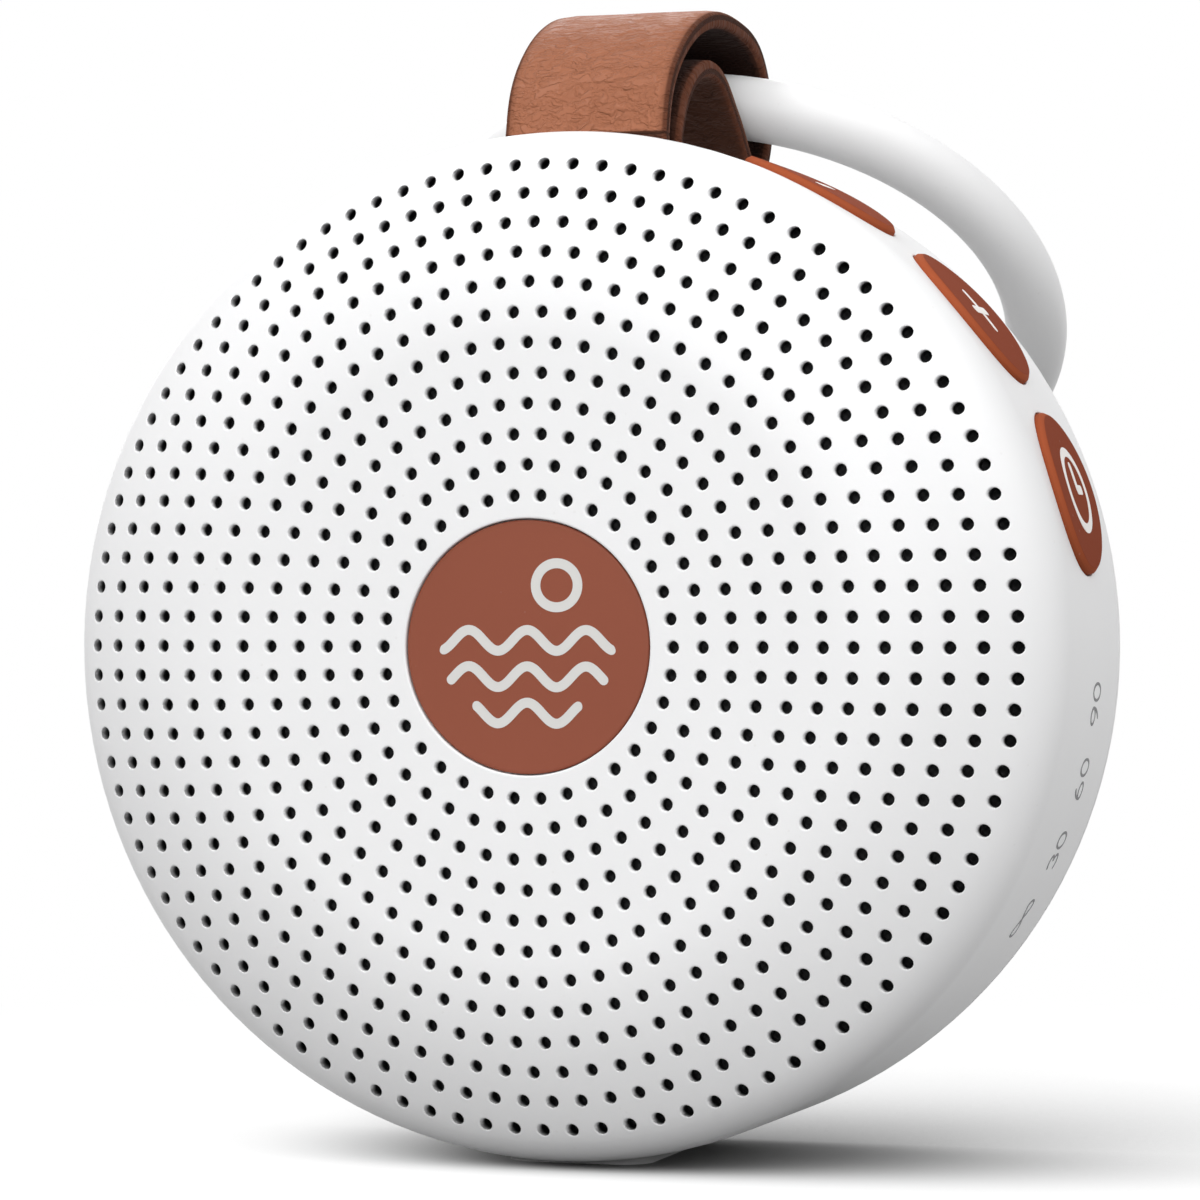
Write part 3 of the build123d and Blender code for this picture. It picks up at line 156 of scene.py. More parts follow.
class EmblemSizes(bpy.types.PropertyGroup):
    """The round plate in the middle of the front."""
    diameter: length("Diameter", "Diameter of the plate", 23.1)
    gap: length("Gap", "Gap between the plate and its recess", 0.13)
    inset: length("Inset", "How far the plate lies below the front", 0.2)
    thickness: length("Thickness", "Thickness of the plate", 1.0)
    bevel: length("Bevel", "Width of the plate's sloped edge", 0.15)
    stroke: length("Stroke", "Width of the printed lines", 0.9)
    brown: colour("Plate colour", "Colour of the plate", (0.27, 0.077, 0.044))
    ink: colour("Print colour", "Colour of the printed lines", (0.66, 0.65, 0.63))


class ButtonSizes(bpy.types.PropertyGroup):
    """The four round buttons on the rim and the printed timer marks."""
    diameter: length("Diameter", "Diameter of a button", 15.6)
    gap: length("Gap", "Gap round a button", 0.12)
    rise: length("Rise", "How far a button stands out of the rim", 0.6)
    depth: length("Depth", "Button centre behind the front face", 21.4)
    bevel: length("Bevel", "Width of the sloped edge", 0.4)
    flange: length("Flange", "Width of the flange that holds the button in", 0.6)
    stroke: length("Stroke", "Width of the printed signs' lines", 0.92)
    mark_depth: length("Mark depth", "Middle of the timer marks behind the front face", 23.8)
    mark_stroke: length("Mark stroke", "Width of the timer marks' lines", 0.27)
    brown: colour("Button colour", "Colour of the tops", (0.225, 0.047, 0.02))
    side: colour("Side colour", "Colour of the sloped edge and the side", (0.34, 0.08, 0.032))
    sign: colour("Sign colour", "Colour of the printed signs", (0.86, 0.83, 0.8))
    mark: colour("Mark colour", "Colour of the timer marks", (0.2, 0.2, 0.205))


class StrapSizes(bpy.types.PropertyGroup):
    """The leather band."""
    width: length("Width", "Width of the band", 16.0)
    thickness: length("Thickness", "Thickness of the band", 1.9)
    pressed: length("Pressed", "How much thinner each side is near the cut edges", 0.12)
    corner: length("Corner", "Rounding of the cut edges", 0.5)
    crease: length("Crease", "Depth of the creases inside the bends", 0.07)
    leather: colour("Leather", "Colour of the grain side", (0.31, 0.112, 0.055))
    cut: colour("Cut edge", "Colour of the painted edges", (0.11, 0.036, 0.018))
    # near black: partly the flesh side's own colour, partly painted shade inside the loop
    flesh: colour("Flesh side", "Colour of the inner side", (0.018, 0.0065, 0.004))


class RingSizes(bpy.types.PropertyGroup):
    """The plastic ring."""
    tube: length("Tube", "Diameter of the ring's tube", 6.4)
    white: colour("Ring white", "Colour of the ring", (0.84, 0.84, 0.843))


class StageSizes(bpy.types.PropertyGroup):
    """Camera, floor and light."""
    camera: bpy.props.FloatVectorProperty(
        name="Camera", description="Where the camera stands", subtype="TRANSLATION",
        unit="LENGTH", size=3, precision=5, default=(130.78 * MM, -420.16 * MM, 51.64 * MM))
    target: bpy.props.FloatVectorProperty(
        name="Target", description="What the camera looks at", subtype="TRANSLATION",
        unit="LENGTH", size=3, precision=5, default=(6.99 * MM, -23.0 * MM, 52.66 * MM))
    lens: bpy.props.FloatProperty(name="Lens", description="Focal length in millimetres",
                                  default=138.27, min=1.0)
    ambient: bpy.props.FloatProperty(name="Ambient", default=0.52, min=0.0,
                                     description="Strength of the even light straight above")
    top: power("Top", "Power of the light at the upper left", 3.3)
    front: power("Front", "Power of the light in front", 4.9)
    side: power("Side", "Power of the light on the right", 7.4)
    back: power("Back", "Power of the light behind", 2.6)


# ------------------------------------------------------------------ places in the drum
def in_part(across, depth, height):
    """Points from the drum's own axes: across, depth behind the front face, height over the axis."""
    across, depth, height = np.broadcast_arrays(across, depth, height)
    return np.stack([across + AXIS_X, depth + FRONT_Y, height + AXIS_Z], axis=-1)


def round_drum(radius, turn, depth):
    """Points at a radius and angle round the drum's axis, counted from +X towards +Z."""
    return in_part(radius * np.cos(turn), depth, radius * np.sin(turn))


def on_rim(angle, along, across, out):
    """Points beside a radial axis: depth along the drum, across it round the rim, and out."""
    turn = math.radians(angle)
    return in_part(out * math.cos(turn) - across * math.sin(turn), along,
                   out * math.sin(turn) + across * math.cos(turn))


# ------------------------------------------------------------------ surfaces
class Patchwork:
    """Grids, cells and strips of points that are welded into closed surfaces."""

    def __init__(self):
        self.points = []
        self.quads = []
        self.triangles = []
        self.notes = {}
        self.total = 0

    def keep(self, points, **notes):
        """Adds points, with values for each of them, and returns the number of the first."""
        start = self.total
        flat = np.asarray(points, float).reshape(-1, 3)
        self.points.append(flat)
        self.total += len(flat)
        for label, values in notes.items():
            self.notes.setdefault(label, []).append((start, np.asarray(values, float)))
        return start

    def cells(self, points, closed=True, **notes):
        """points[cell, row, column]: a grid for each; closed joins its last column to the first."""
        cells, rows, columns = points.shape[:3]
        start = self.keep(points, **notes)
        cell = np.arange(cells)[:, None, None] * rows * columns
        row = np.arange(rows - 1)[None, :, None] * columns
        column = np.arange(columns if closed else columns - 1)[None, None, :]
        after = (column + 1) % columns
        corners = np.stack([cell + row + column, cell + row + after,
                            cell + row + columns + after, cell + row + columns + column], axis=-1)
        self.quads.append(corners.reshape(-1, 4) + start)

    def grid(self, points, closed=True, **notes):
        """points[row, column]: one such grid."""
        self.cells(points[None], closed, **notes)

    def zip_rings(self, first_turns, first, second_turns, second):
        """Triangles between two rings of points whose angles ascend.

        The second ring's points are put in order from the first ring's start. The walk takes the
        edges of both rings in the order of their middles, and joins each edge to the point of the
        other ring that it has reached.
        """
        second_turns = first_turns[0] + (second_turns - first_turns[0]) % FULL_TURN
        order = np.argsort(second_turns)
        second_turns, second = second_turns[order], second[order]
        one_start = self.keep(first)
        two_start = self.keep(second)
        one_middles = (first_turns + np.append(first_turns[1:], first_turns[0] + FULL_TURN)) / 2
        two_middles = (second_turns + np.append(second_turns[1:],
                                                second_turns[0] + FULL_TURN)) / 2
        one = np.arange(len(first_turns))
        two = np.arange(len(second_turns))
        reached_two = np.searchsorted(two_middles, one_middles, side="left") % len(two)
        reached_one = np.searchsorted(one_middles, two_middles, side="right") % len(one)
        self.triangles.append(np.stack([one_start + one, one_start + (one + 1) % len(one),
                                        two_start + reached_two], axis=-1))
        self.triangles.append(np.stack([two_start + (two + 1) % len(two), two_start + two,
                                        one_start + reached_one], axis=-1))

    def finish(self, name, material, body=None):
        """Welds the patches, turns the faces outwards and makes the object."""
        mesh = bpy.data.meshes.new(name)
        faces = np.concatenate(self.quads).tolist()
        if self.triangles:
            faces += np.concatenate(self.triangles).tolist()
        mesh.from_pydata(np.concatenate(self.points).tolist(), [], faces)
        for label, kept in self.notes.items():
            wide = label == "skin"
            values = np.zeros((self.total, 3) if wide else self.total, np.float32)
            for start, part in kept:
                part = part.reshape(-1, 3) if wide else part.ravel()
                values[start:start + len(part)] = part
            layer = mesh.attributes.new(label, "FLOAT_VECTOR" if wide else "FLOAT", "POINT")
            layer.data.foreach_set("vector" if wide else "value", values.ravel())
        welded = bmesh.new()
        welded.from_mesh(mesh)
        bmesh.ops.remove_doubles(welded, verts=welded.verts, dist=WELD)
        bmesh.ops.recalc_face_normals(welded, faces=welded.faces)
        welded.to_mesh(mesh)
        welded.free()
        mesh.polygons.foreach_set("use_smooth", np.ones(len(mesh.polygons), bool))
        mesh.set_sharp_from_angle(angle=math.radians(SHARP))
        mesh.materials.append(material)
        piece = bpy.data.objects.new(name, mesh)
        bpy.context.scene.collection.objects.link(piece)
        if body:
            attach(piece, body)
        return piece


def lathe(work, profile, turns):
    """Turns a profile of (radius, depth) points round the drum's axis at the given angles."""
    profile = np.asarray(profile, float)
    work.grid(round_drum(profile[:, :1], turns[None, :], profile[:, 1:]))


def arc(centre, radius, start, end, steps):
    """(radius, depth) points on an arc; an angle of 0 points to the front, 90 outwards."""
    turn = np.radians(np.linspace(start, end, steps + 1))
    return np.stack([centre[0] + radius * np.sin(turn), centre[1] - radius * np.cos(turn)], axis=-1)


def square_walk(side):
    """Once round the square from -1 to 1, with the same spacing on each side."""
    one = np.ones_like(side)
    return np.concatenate([one, -side, -one, side]), np.concatenate([side, one, -side, -one])


def rounded_outline(walk, half_along, half_across, corner):
    """The walk pushed on to a rounded rectangle, which is a circle where all three are equal.

    Each point is drawn in to the rectangle of corner centres, and then moved one corner radius
    away from it.
    """
    along = walk[0] * half_along
    across = walk[1] * half_across
    inner_along = np.clip(along, corner - half_along, half_along - corner)
    inner_across = np.clip(across, corner - half_across, half_across - corner)
    away = np.hypot(along - inner_along, across - inner_across)
    return (inner_along + corner * (along - inner_along) / away,
            inner_across + corner * (across - inner_across) / away)


def band_with_openings(work, openings, low, high, steps, margin, scale, place, layers, cut):
    """A band round the drum between two values of its running coordinate, with openings in it.

    Each opening has its own cell, as long as the band is wide, which cut fills. Plain grids fill
    the band between the cells, with columns of about even width. Returns the angles of the band's
    columns.
    """
    walk = square_walk(np.linspace(-1, 1, steps, endpoint=False))
    middle = (low + high) / 2
    half = (high - low) / 2
    edges = []
    columns = []
    for opening in openings:
        centre = math.radians(opening["angle"])
        half_turn = (opening["half_across"] + margin) / scale
        cut(opening, (middle + half * walk[0], centre + half_turn * walk[1]), walk)
        edges.append((centre - half_turn, centre + half_turn))
        columns.append(np.linspace(*edges[-1], steps + 1)[:-1])
    order = np.argsort([edge[0] for edge in edges])
    lines = np.linspace(low, high, steps + 1)
    turns = []
    for rank, index in enumerate(order):
        last = rank + 1 == len(order)
        start = edges[index][1]
        end = edges[order[0 if last else rank + 1]][0] + (FULL_TURN if last else 0)
        gap = np.linspace(start, end, max(2, round(math.degrees(end - start) / COLUMN_DEGREES)) + 1)
        turns += [columns[index], gap[:-1]]
        for layer in layers:
            work.grid(place(lines[None, :], gap[:, None], layer), closed=False)
    return np.concatenate(turns)


def ribbon(work, path, width, place, proud=PRINT_PROUD, loop=False, weave=0.0):
    """A flat printed line of even width with round ends, carried along a path of (u, v) points.

    place(u, v, h) gives the point at height h over the printed surface. The half width falls to
    nothing at each end as a circle does. weave lifts and lowers the line once along its length.
    """
    path = np.asarray(path, float)
    if loop:
        path = np.concatenate([path, path[:1]])
    run = np.concatenate([[0], np.cumsum(np.hypot(*np.diff(path, axis=0).T))])
    total = run[-1]
    steps = max(8, int(total / PRINT_STEP))
    if loop:
        place_on = np.linspace(0, total, steps + 1)
        half = np.full(steps + 1, width / 2)
    else:
        cap = width / 2 * (1 - np.cos(np.linspace(0, math.pi / 2, 6)))
        middle = np.linspace(width / 2, total - width / 2, steps)[1:-1]
        place_on = np.concatenate([cap, middle, total - cap[::-1]])
        reach = np.clip(np.minimum(place_on, total - place_on) / (width / 2), 0, 1)
        half = width / 2 * np.sqrt(1 - (1 - reach) ** 2)
    u = np.interp(place_on, run, path[:, 0])
    v = np.interp(place_on, run, path[:, 1])
    if loop:
        du = np.gradient(np.concatenate([u[-2:-1], u, u[1:2]]))[1:-1]
        dv = np.gradient(np.concatenate([v[-2:-1], v, v[1:2]]))[1:-1]
    else:
        du, dv = np.gradient(u), np.gradient(v)
    size = np.hypot(du, dv)
    side_u, side_v = -dv / size, du / size
    lift = weave * np.sin(FULL_TURN * place_on / total)
    across = np.array([-1.0, -1.0, 0.0, 1.0, 1.0, 0.0])
    height = np.array([-PRINT_SUNK, proud, proud, proud, -PRINT_SUNK, -PRINT_SUNK])
    out = height[None, :] + lift[:, None] * (height[None, :] > 0)
    work.grid(place(u[:, None] + across * (half * side_u)[:, None],
                    v[:, None] + across * (half * side_v)[:, None], out))


def oval(radius_u, radius_v, start, end, middle=(0.0, 0.0)):
    """Points on an oval from one angle to another, in millimetres turned into metres."""
    turn = np.radians(np.linspace(start, end, OVAL_STEPS + 1))
    return np.stack([middle[0] + radius_u * np.cos(turn),
                     middle[1] + radius_v * np.sin(turn)], axis=-1) * MM


# ------------------------------------------------------------------ node graphs
class Graph:
    """Adds and links the nodes of a material, a world or a node group."""

    def __init__(self, tree):
        self.tree = tree
        tree.nodes.clear()

    def add(self, kind, inputs=None, **settings):
        """A new node with its inputs, each a number, a colour or a socket to link, and settings."""
        node = self.tree.nodes.new(kind)
        for name, value in settings.items():
            setattr(node, name, value)
        for socket, value in (inputs or {}).items():
            self.feed(node.inputs[socket], value)
        return node

    def feed(self, socket, value):
        """Links a socket to an input, or sets the input's own value."""
        if isinstance(value, bpy.types.NodeSocket):
            self.tree.links.new(value, socket)
        else:
            socket.default_value = value

    def maths(self, operation, *values):
        """Two numbers, or one, worked into another."""
        node = self.add("ShaderNodeMath", dict(enumerate(values)), operation=operation)
        return node.outputs[0]

    def span(self, value, low, high, new_low=0.0, new_high=1.0):
        """The value's range from low to high, moved to another range and held inside it."""
        node = self.add("ShaderNodeMapRange", {0: value, 1: low, 2: high, 3: new_low, 4: new_high},
                        interpolation_type="SMOOTHSTEP")
        return node.outputs[0]

    def blend(self, share, first, second):
        """Two colours mixed by a share."""
        node = self.add("ShaderNodeMix", {0: share, 6: first, 7: second}, data_type="RGBA")
        return node.outputs[2]

    def seen(self):
        """1 on rays by which a point is seen: from the camera, mirrored or through clear plastic."""
        ray = self.add("ShaderNodeLightPath").outputs
        return self.maths("MAXIMUM", ray["Is Camera Ray"],
                          self.maths("MAXIMUM", ray["Is Glossy Ray"],
                                     ray["Is Transmission Ray"]))

    def noise(self, vector, scale, detail=2.0, roughness=0.5):
        """Soft clouds between 0 and 1."""
        node = self.add("ShaderNodeTexNoise", {"Vector": vector, "Scale": scale, "Detail": detail,
                                               "Roughness": roughness})
        return node.outputs[0]

    def cells(self, vector, scale, feature="F1"):
        """Distance to the nearest of scattered points."""
        node = self.add("ShaderNodeTexVoronoi", {"Vector": vector, "Scale": scale},
                        feature=feature)
        return node.outputs[0]

    def crinkle(self, vector, scale, detail, width):
        """0 along thin winding lines and 1 between them, where a noise passes its middle."""
        off = self.maths("ABSOLUTE", self.maths("SUBTRACT", self.noise(vector, scale, detail),
                                                0.5))
        return self.span(off, 0.0, width / 2)

    def stretch(self, vector, scale):
        """Coordinates scaled along each axis; a small scale draws a pattern out."""
        node = self.add("ShaderNodeMapping", {"Vector": vector, "Scale": scale})
        return node.outputs[0]

    def named(self, label, output=2):
        """A value of the mesh: output 1 is a vector, 2 a number."""
        return self.add("ShaderNodeAttribute", attribute_name=label).outputs[output]


def node_group(name, inputs, outputs, build):
    """Makes a group once; build gets its graph and its inputs and returns its outputs."""
    known = bpy.data.node_groups.get(name)
    if known:
        return known
    tree = bpy.data.node_groups.new(name, "ShaderNodeTree")
    for label, (kind, default) in inputs.items():
        socket = tree.interface.new_socket(name=label, in_out="INPUT", socket_type=kind)
        if default is not None:
            socket.default_value = default
    for label, kind in outputs.items():
        tree.interface.new_socket(name=label, in_out="OUTPUT", socket_type=kind)
    graph = Graph(tree)
    source = graph.add("NodeGroupInput")
    results = build(graph, source.outputs)
    graph.add("NodeGroupOutput", results)
    return tree


def moulded_group():
    """Moulded plastic or rubber: a fine even grain, slow changes of tone and a few dust specks."""
    def build(graph, inputs):
        place = inputs["Vector"]
        fine = graph.noise(place, inputs["Grain"], 3.0, 0.6)
        slow = graph.noise(place, 55.0, 2.0)
        speck = graph.cells(place, 900.0)
        lone = graph.noise(place, 210.0, 1.0)
        dust = graph.maths("MULTIPLY", graph.span(speck, 0.16, 0.07),
                           graph.span(lone, 0.6, 0.68))
        tone = graph.maths("ADD", 1.0, graph.maths("MULTIPLY", inputs["Tone"],
                                                   graph.maths("SUBTRACT", slow, 0.5)))
        toned = graph.add("ShaderNodeVectorMath", {0: inputs["Colour"], "Scale": tone},
                          operation="SCALE").outputs[0]
        dusty = graph.blend(graph.maths("MULTIPLY", dust, inputs["Dust"]), toned, DUST)
        rough = graph.maths("ADD", inputs["Roughness"],
                            graph.maths("MULTIPLY", 0.09, graph.maths("SUBTRACT", fine, 0.5)))
        return {"Colour": dusty, "Roughness": rough, "Height": fine}

    return node_group("Moulded surface",
                      {"Vector": ("NodeSocketVector", None),
                       "Colour": ("NodeSocketColor", (0.8, 0.8, 0.8, 1.0)),
                       "Roughness": ("NodeSocketFloat", 0.5),
                       "Grain": ("NodeSocketFloat", 3000.0),
                       "Tone": ("NodeSocketFloat", 0.05),
                       "Dust": ("NodeSocketFloat", 0.2)},
                      {"Colour": "NodeSocketColor", "Roughness": "NodeSocketFloat",
                       "Height": "NodeSocketFloat"}, build)


def drawn_group():
    """Drawn or turned metal: long fine scratches along one axis and faint stains."""
    def build(graph, inputs):
        lines = graph.noise(graph.stretch(inputs["Vector"], (1.0, 0.06, 1.0)),
                            inputs["Grain"], 4.0, 0.65)
        stain = graph.noise(inputs["Vector"], 160.0, 3.0)
        toned = graph.blend(graph.maths("MULTIPLY", 0.35, graph.span(stain, 0.35, 0.75)),
                            inputs["Colour"], inputs["Stain"])
        rough = graph.maths("ADD", inputs["Roughness"],
                            graph.maths("MULTIPLY", 0.25, graph.maths("SUBTRACT", lines, 0.5)))
        return {"Colour": toned, "Roughness": rough, "Height": lines}

    return node_group("Drawn metal",
                      {"Vector": ("NodeSocketVector", None),
                       "Colour": ("NodeSocketColor", (0.6, 0.6, 0.6, 1.0)),
                       "Stain": ("NodeSocketColor", (0.3, 0.28, 0.26, 1.0)),
                       "Roughness": ("NodeSocketFloat", 0.35),
                       "Grain": ("NodeSocketFloat", 2500.0)},
                      {"Colour": "NodeSocketColor", "Roughness": "NodeSocketFloat",
                       "Height": "NodeSocketFloat"}, build)


def woven_group():
    """Plain weave: threads cross over and under each other, one row a half step from the next."""
    def build(graph, inputs):
        parts = graph.add("ShaderNodeSeparateXYZ", {0: inputs["Vector"]}).outputs
        turn = graph.maths("MULTIPLY", FULL_TURN / 2, inputs["Threads"])
        warp = graph.maths("SINE", graph.maths("MULTIPLY", parts[0], turn))
        weft = graph.maths("SINE", graph.maths("MULTIPLY", parts[2], turn))
        height = graph.span(graph.maths("MULTIPLY", warp, weft), -1.0, 1.0)
        fuzz = graph.noise(inputs["Vector"], 9000.0, 2.0)
        toned = graph.blend(graph.maths("MULTIPLY", height, fuzz), inputs["Colour"],
                            inputs["Thread"])
        return {"Colour": toned, "Height": height}

    return node_group("Woven threads",
                      {"Vector": ("NodeSocketVector", None),
                       "Colour": ("NodeSocketColor", (0.02, 0.02, 0.02, 1.0)),
                       "Thread": ("NodeSocketColor", (0.08, 0.08, 0.08, 1.0)),
                       "Threads": ("NodeSocketFloat", 2500.0)},
                      {"Colour": "NodeSocketColor", "Height": "NodeSocketFloat"}, build)


def two_tone_group():
    """Two colours: the second one takes over as a value rises from low to high."""
    def build(graph, inputs):
        share = graph.span(inputs["Value"], inputs["Low"], inputs["High"])
        return {"Colour": graph.blend(share, inputs["First"], inputs["Second"])}

    return node_group("Two tones",
                      {"Value": ("NodeSocketFloat", 0.0),
                       "Low": ("NodeSocketFloat", 0.0),
                       "High": ("NodeSocketFloat", 1.0),
                       "First": ("NodeSocketColor", (0.8, 0.8, 0.8, 1.0)),
                       "Second": ("NodeSocketColor", (0.2, 0.2, 0.2, 1.0))},
                      {"Colour": "NodeSocketColor"}, build)


# ------------------------------------------------------------------ finishes
# depth of each kind of relief where its strength is 1
GRAIN_DEPTH = 0.05 * MM
SCRATCH_DEPTH = 0.02 * MM
THREAD_DEPTH = 0.08 * MM
CREASE_DEPTH = 0.28 * MM
DUST = (0.62, 0.6, 0.57, 1.0)


def paint(value):
    """A colour with full alpha."""
    return (*value[:3], 1.0)


def start_material(name):
    """A material with its Object coordinates, its shader and its output."""
    known = bpy.data.materials.get(name)
    if known:
        bpy.data.materials.remove(known)
    material = bpy.data.materials.new(name)
    material.use_nodes = True
    graph = Graph(material.node_tree)
    place = graph.add("ShaderNodeTexCoord").outputs["Object"]
    shader = graph.add("ShaderNodeBsdfPrincipled")
    graph.add("ShaderNodeOutputMaterial", {"Surface": shader.outputs[0]})
    return material, graph, place, shader


def relief(graph, shader, height, strength, distance):
    """Feeds a height through a Bump node into the shader's normal."""
    bump = graph.add("ShaderNodeBump", {"Height": height, "Strength": strength,
                                        "Distance": distance})
    graph.feed(shader.inputs["Normal"], bump.outputs[0])


def moulded(name, value, roughness=0.45, grain=3200.0, strength=0.12, tone=0.04, dust=0.15,
            **sockets):
    """Moulded plastic, rubber, foam or paint; sockets are constants on the shader.

    The value is a colour, or a function that gives a colour socket of the material's graph.
    """
    material, graph, place, shader = start_material(name)
    base = value(graph) if callable(value) else paint(value)
    skin = graph.add("ShaderNodeGroup", {"Vector": place, "Colour": base, "Roughness": roughness,
                                         "Grain": grain, "Tone": tone, "Dust": dust},
                     node_tree=moulded_group())
    graph.feed(shader.inputs["Base Color"], skin.outputs["Colour"])
    graph.feed(shader.inputs["Roughness"], skin.outputs["Roughness"])
    relief(graph, shader, skin.outputs["Height"], strength, GRAIN_DEPTH)
    for label, number in sockets.items():
        shader.inputs[label.replace("_", " ")].default_value = number
    return material


def drawn(name, value, stain, roughness=0.32):
    """Plated steel, copper or zinc with drawing marks."""
    material, graph, place, shader = start_material(name)
    skin = graph.add("ShaderNodeGroup", {"Vector": place, "Colour": paint(value),
                                         "Stain": paint(stain), "Roughness": roughness,
                                         "Grain": 2600.0}, node_tree=drawn_group())
    graph.feed(shader.inputs["Base Color"], skin.outputs["Colour"])
    graph.feed(shader.inputs["Roughness"], skin.outputs["Roughness"])
    shader.inputs["Metallic"].default_value = 1.0
    relief(graph, shader, skin.outputs["Height"], 0.1, SCRATCH_DEPTH)
    return material


def woven(name, value, thread, threads=2600.0):
    """Acoustic cloth or fabric tape."""
    material, graph, place, shader = start_material(name)
    skin = graph.add("ShaderNodeGroup", {"Vector": place, "Colour": paint(value),
                                         "Thread": paint(thread), "Threads": threads},
                     node_tree=woven_group())
    graph.feed(shader.inputs["Base Color"], skin.outputs["Colour"])
    shader.inputs["Roughness"].default_value = 0.9
    relief(graph, shader, skin.outputs["Height"], 0.4, THREAD_DEPTH)
    return material


def two_tone(name, label, low, high, first, second, *skin, **sockets):
    """Moulded plastic whose colour changes as a value of the mesh rises from low to high."""
    def colours(graph):
        tones = graph.add("ShaderNodeGroup", {"Value": graph.named(label), "Low": low,
                                              "High": high, "First": paint(first),
                                              "Second": paint(second)},
                          node_tree=two_tone_group())
        return tones.outputs["Colour"]

    return moulded(name, colours, *skin, **sockets)


def cover_plastic(shell):
    """White cover whose holes are painted dark below the first millimetre, as painted shade."""
    return two_tone("front_white", "bore", 0.15, 0.7, shell.white, shell.bore, 0.42)


def button_plastic(buttons):
    """Soft-touch top with a brighter sloped edge and side."""
    return two_tone("button_soft_touch", "side", 0.0, 1.0, buttons.brown, buttons.side, 0.7,
                    4200.0, 0.16, 0.1, 0.1, Specular_IOR_Level=0.03)


def strap_leather(strap):
    """Grained leather: winding creases that run across the band, pebbles, dark painted edges.

    The pattern follows the band: skin is the run along it, the place across it and the side.
    """
    material, graph, _, shader = start_material("strap_leather")
    skin = graph.named("skin", 1)
    edge = graph.named("edge")
    flesh = graph.named("flesh")
    bent = graph.named("bent")
    warp = graph.add("ShaderNodeTexNoise", {"Vector": skin, "Scale": 420.0, "Detail": 3.0})
    moved = graph.add("ShaderNodeVectorMath", {0: warp.outputs[1], "Scale": 0.0016},
                      operation="SCALE").outputs[0]
    place = graph.add("ShaderNodeVectorMath", {0: skin, 1: moved}, operation="ADD").outputs[0]
    long = graph.stretch(place, (1.0, 0.5, 1.0))
    wide_folds = graph.crinkle(long, 520.0, 2.0, 0.22)
    fine_folds = graph.crinkle(long, 1300.0, 2.0, 0.2)
    pebble = graph.cells(graph.stretch(place, (1.0, 0.6, 1.0)), 1150.0, "SMOOTH_F1")
    dots = graph.noise(skin, 5200.0, 2.0, 0.6)
    tone = graph.noise(skin, 160.0, 4.0, 0.55)
    height = graph.maths("MULTIPLY", wide_folds, 0.5)
    height = graph.maths("ADD", height, graph.maths("MULTIPLY", fine_folds, 0.32))
    height = graph.maths("SUBTRACT", height, graph.maths("MULTIPLY", pebble, 0.5))
    height = graph.maths("ADD", height, graph.maths("MULTIPLY", dots, 0.06))
    dark = paint([channel * 0.62 for channel in strap.leather])
    light = paint([min(1.0, channel * 1.2 + 0.01) for channel in strap.leather])
    face = graph.blend(graph.span(tone, 0.3, 0.7, 0.0, 0.18), paint(strap.leather), light)
    # painted shade: the crease lines are painted darker
    low = graph.maths("SUBTRACT", 1.0, graph.maths("MULTIPLY", wide_folds, fine_folds))
    face = graph.blend(graph.maths("MULTIPLY", low, 0.17), face, dark)
    face = graph.blend(graph.maths("MULTIPLY", bent, 0.2), face, light)
    # the inner side: the flesh side's colour with painted shade, also used past the ring on the grain
    # side
    suede = graph.noise(skin, 5200.0, 3.0, 0.7)
    inside = graph.blend(suede, paint(strap.flesh), paint([1.6 * part for part in strap.flesh]))
    face = graph.blend(flesh, face, inside)
    paint_wear = graph.noise(skin, 1100.0, 3.0)
    rim = graph.blend(graph.span(paint_wear, 0.55, 0.75, 0.0, 0.3), paint(strap.cut),
                      paint(strap.leather))
    face = graph.blend(edge, face, rim)
    graph.feed(shader.inputs["Base Color"], face)
    rough = graph.span(height, 0.0, 0.8, 0.58, 0.42)
    hidden = graph.maths("MAXIMUM", flesh, edge)
    rough = graph.maths("ADD", rough, graph.maths("MULTIPLY", hidden, 0.35))
    graph.feed(shader.inputs["Roughness"], rough)
    shader.inputs["Specular IOR Level"].default_value = 0.18
    relief(graph, shader, height, 1.0, CREASE_DEPTH)
    return material


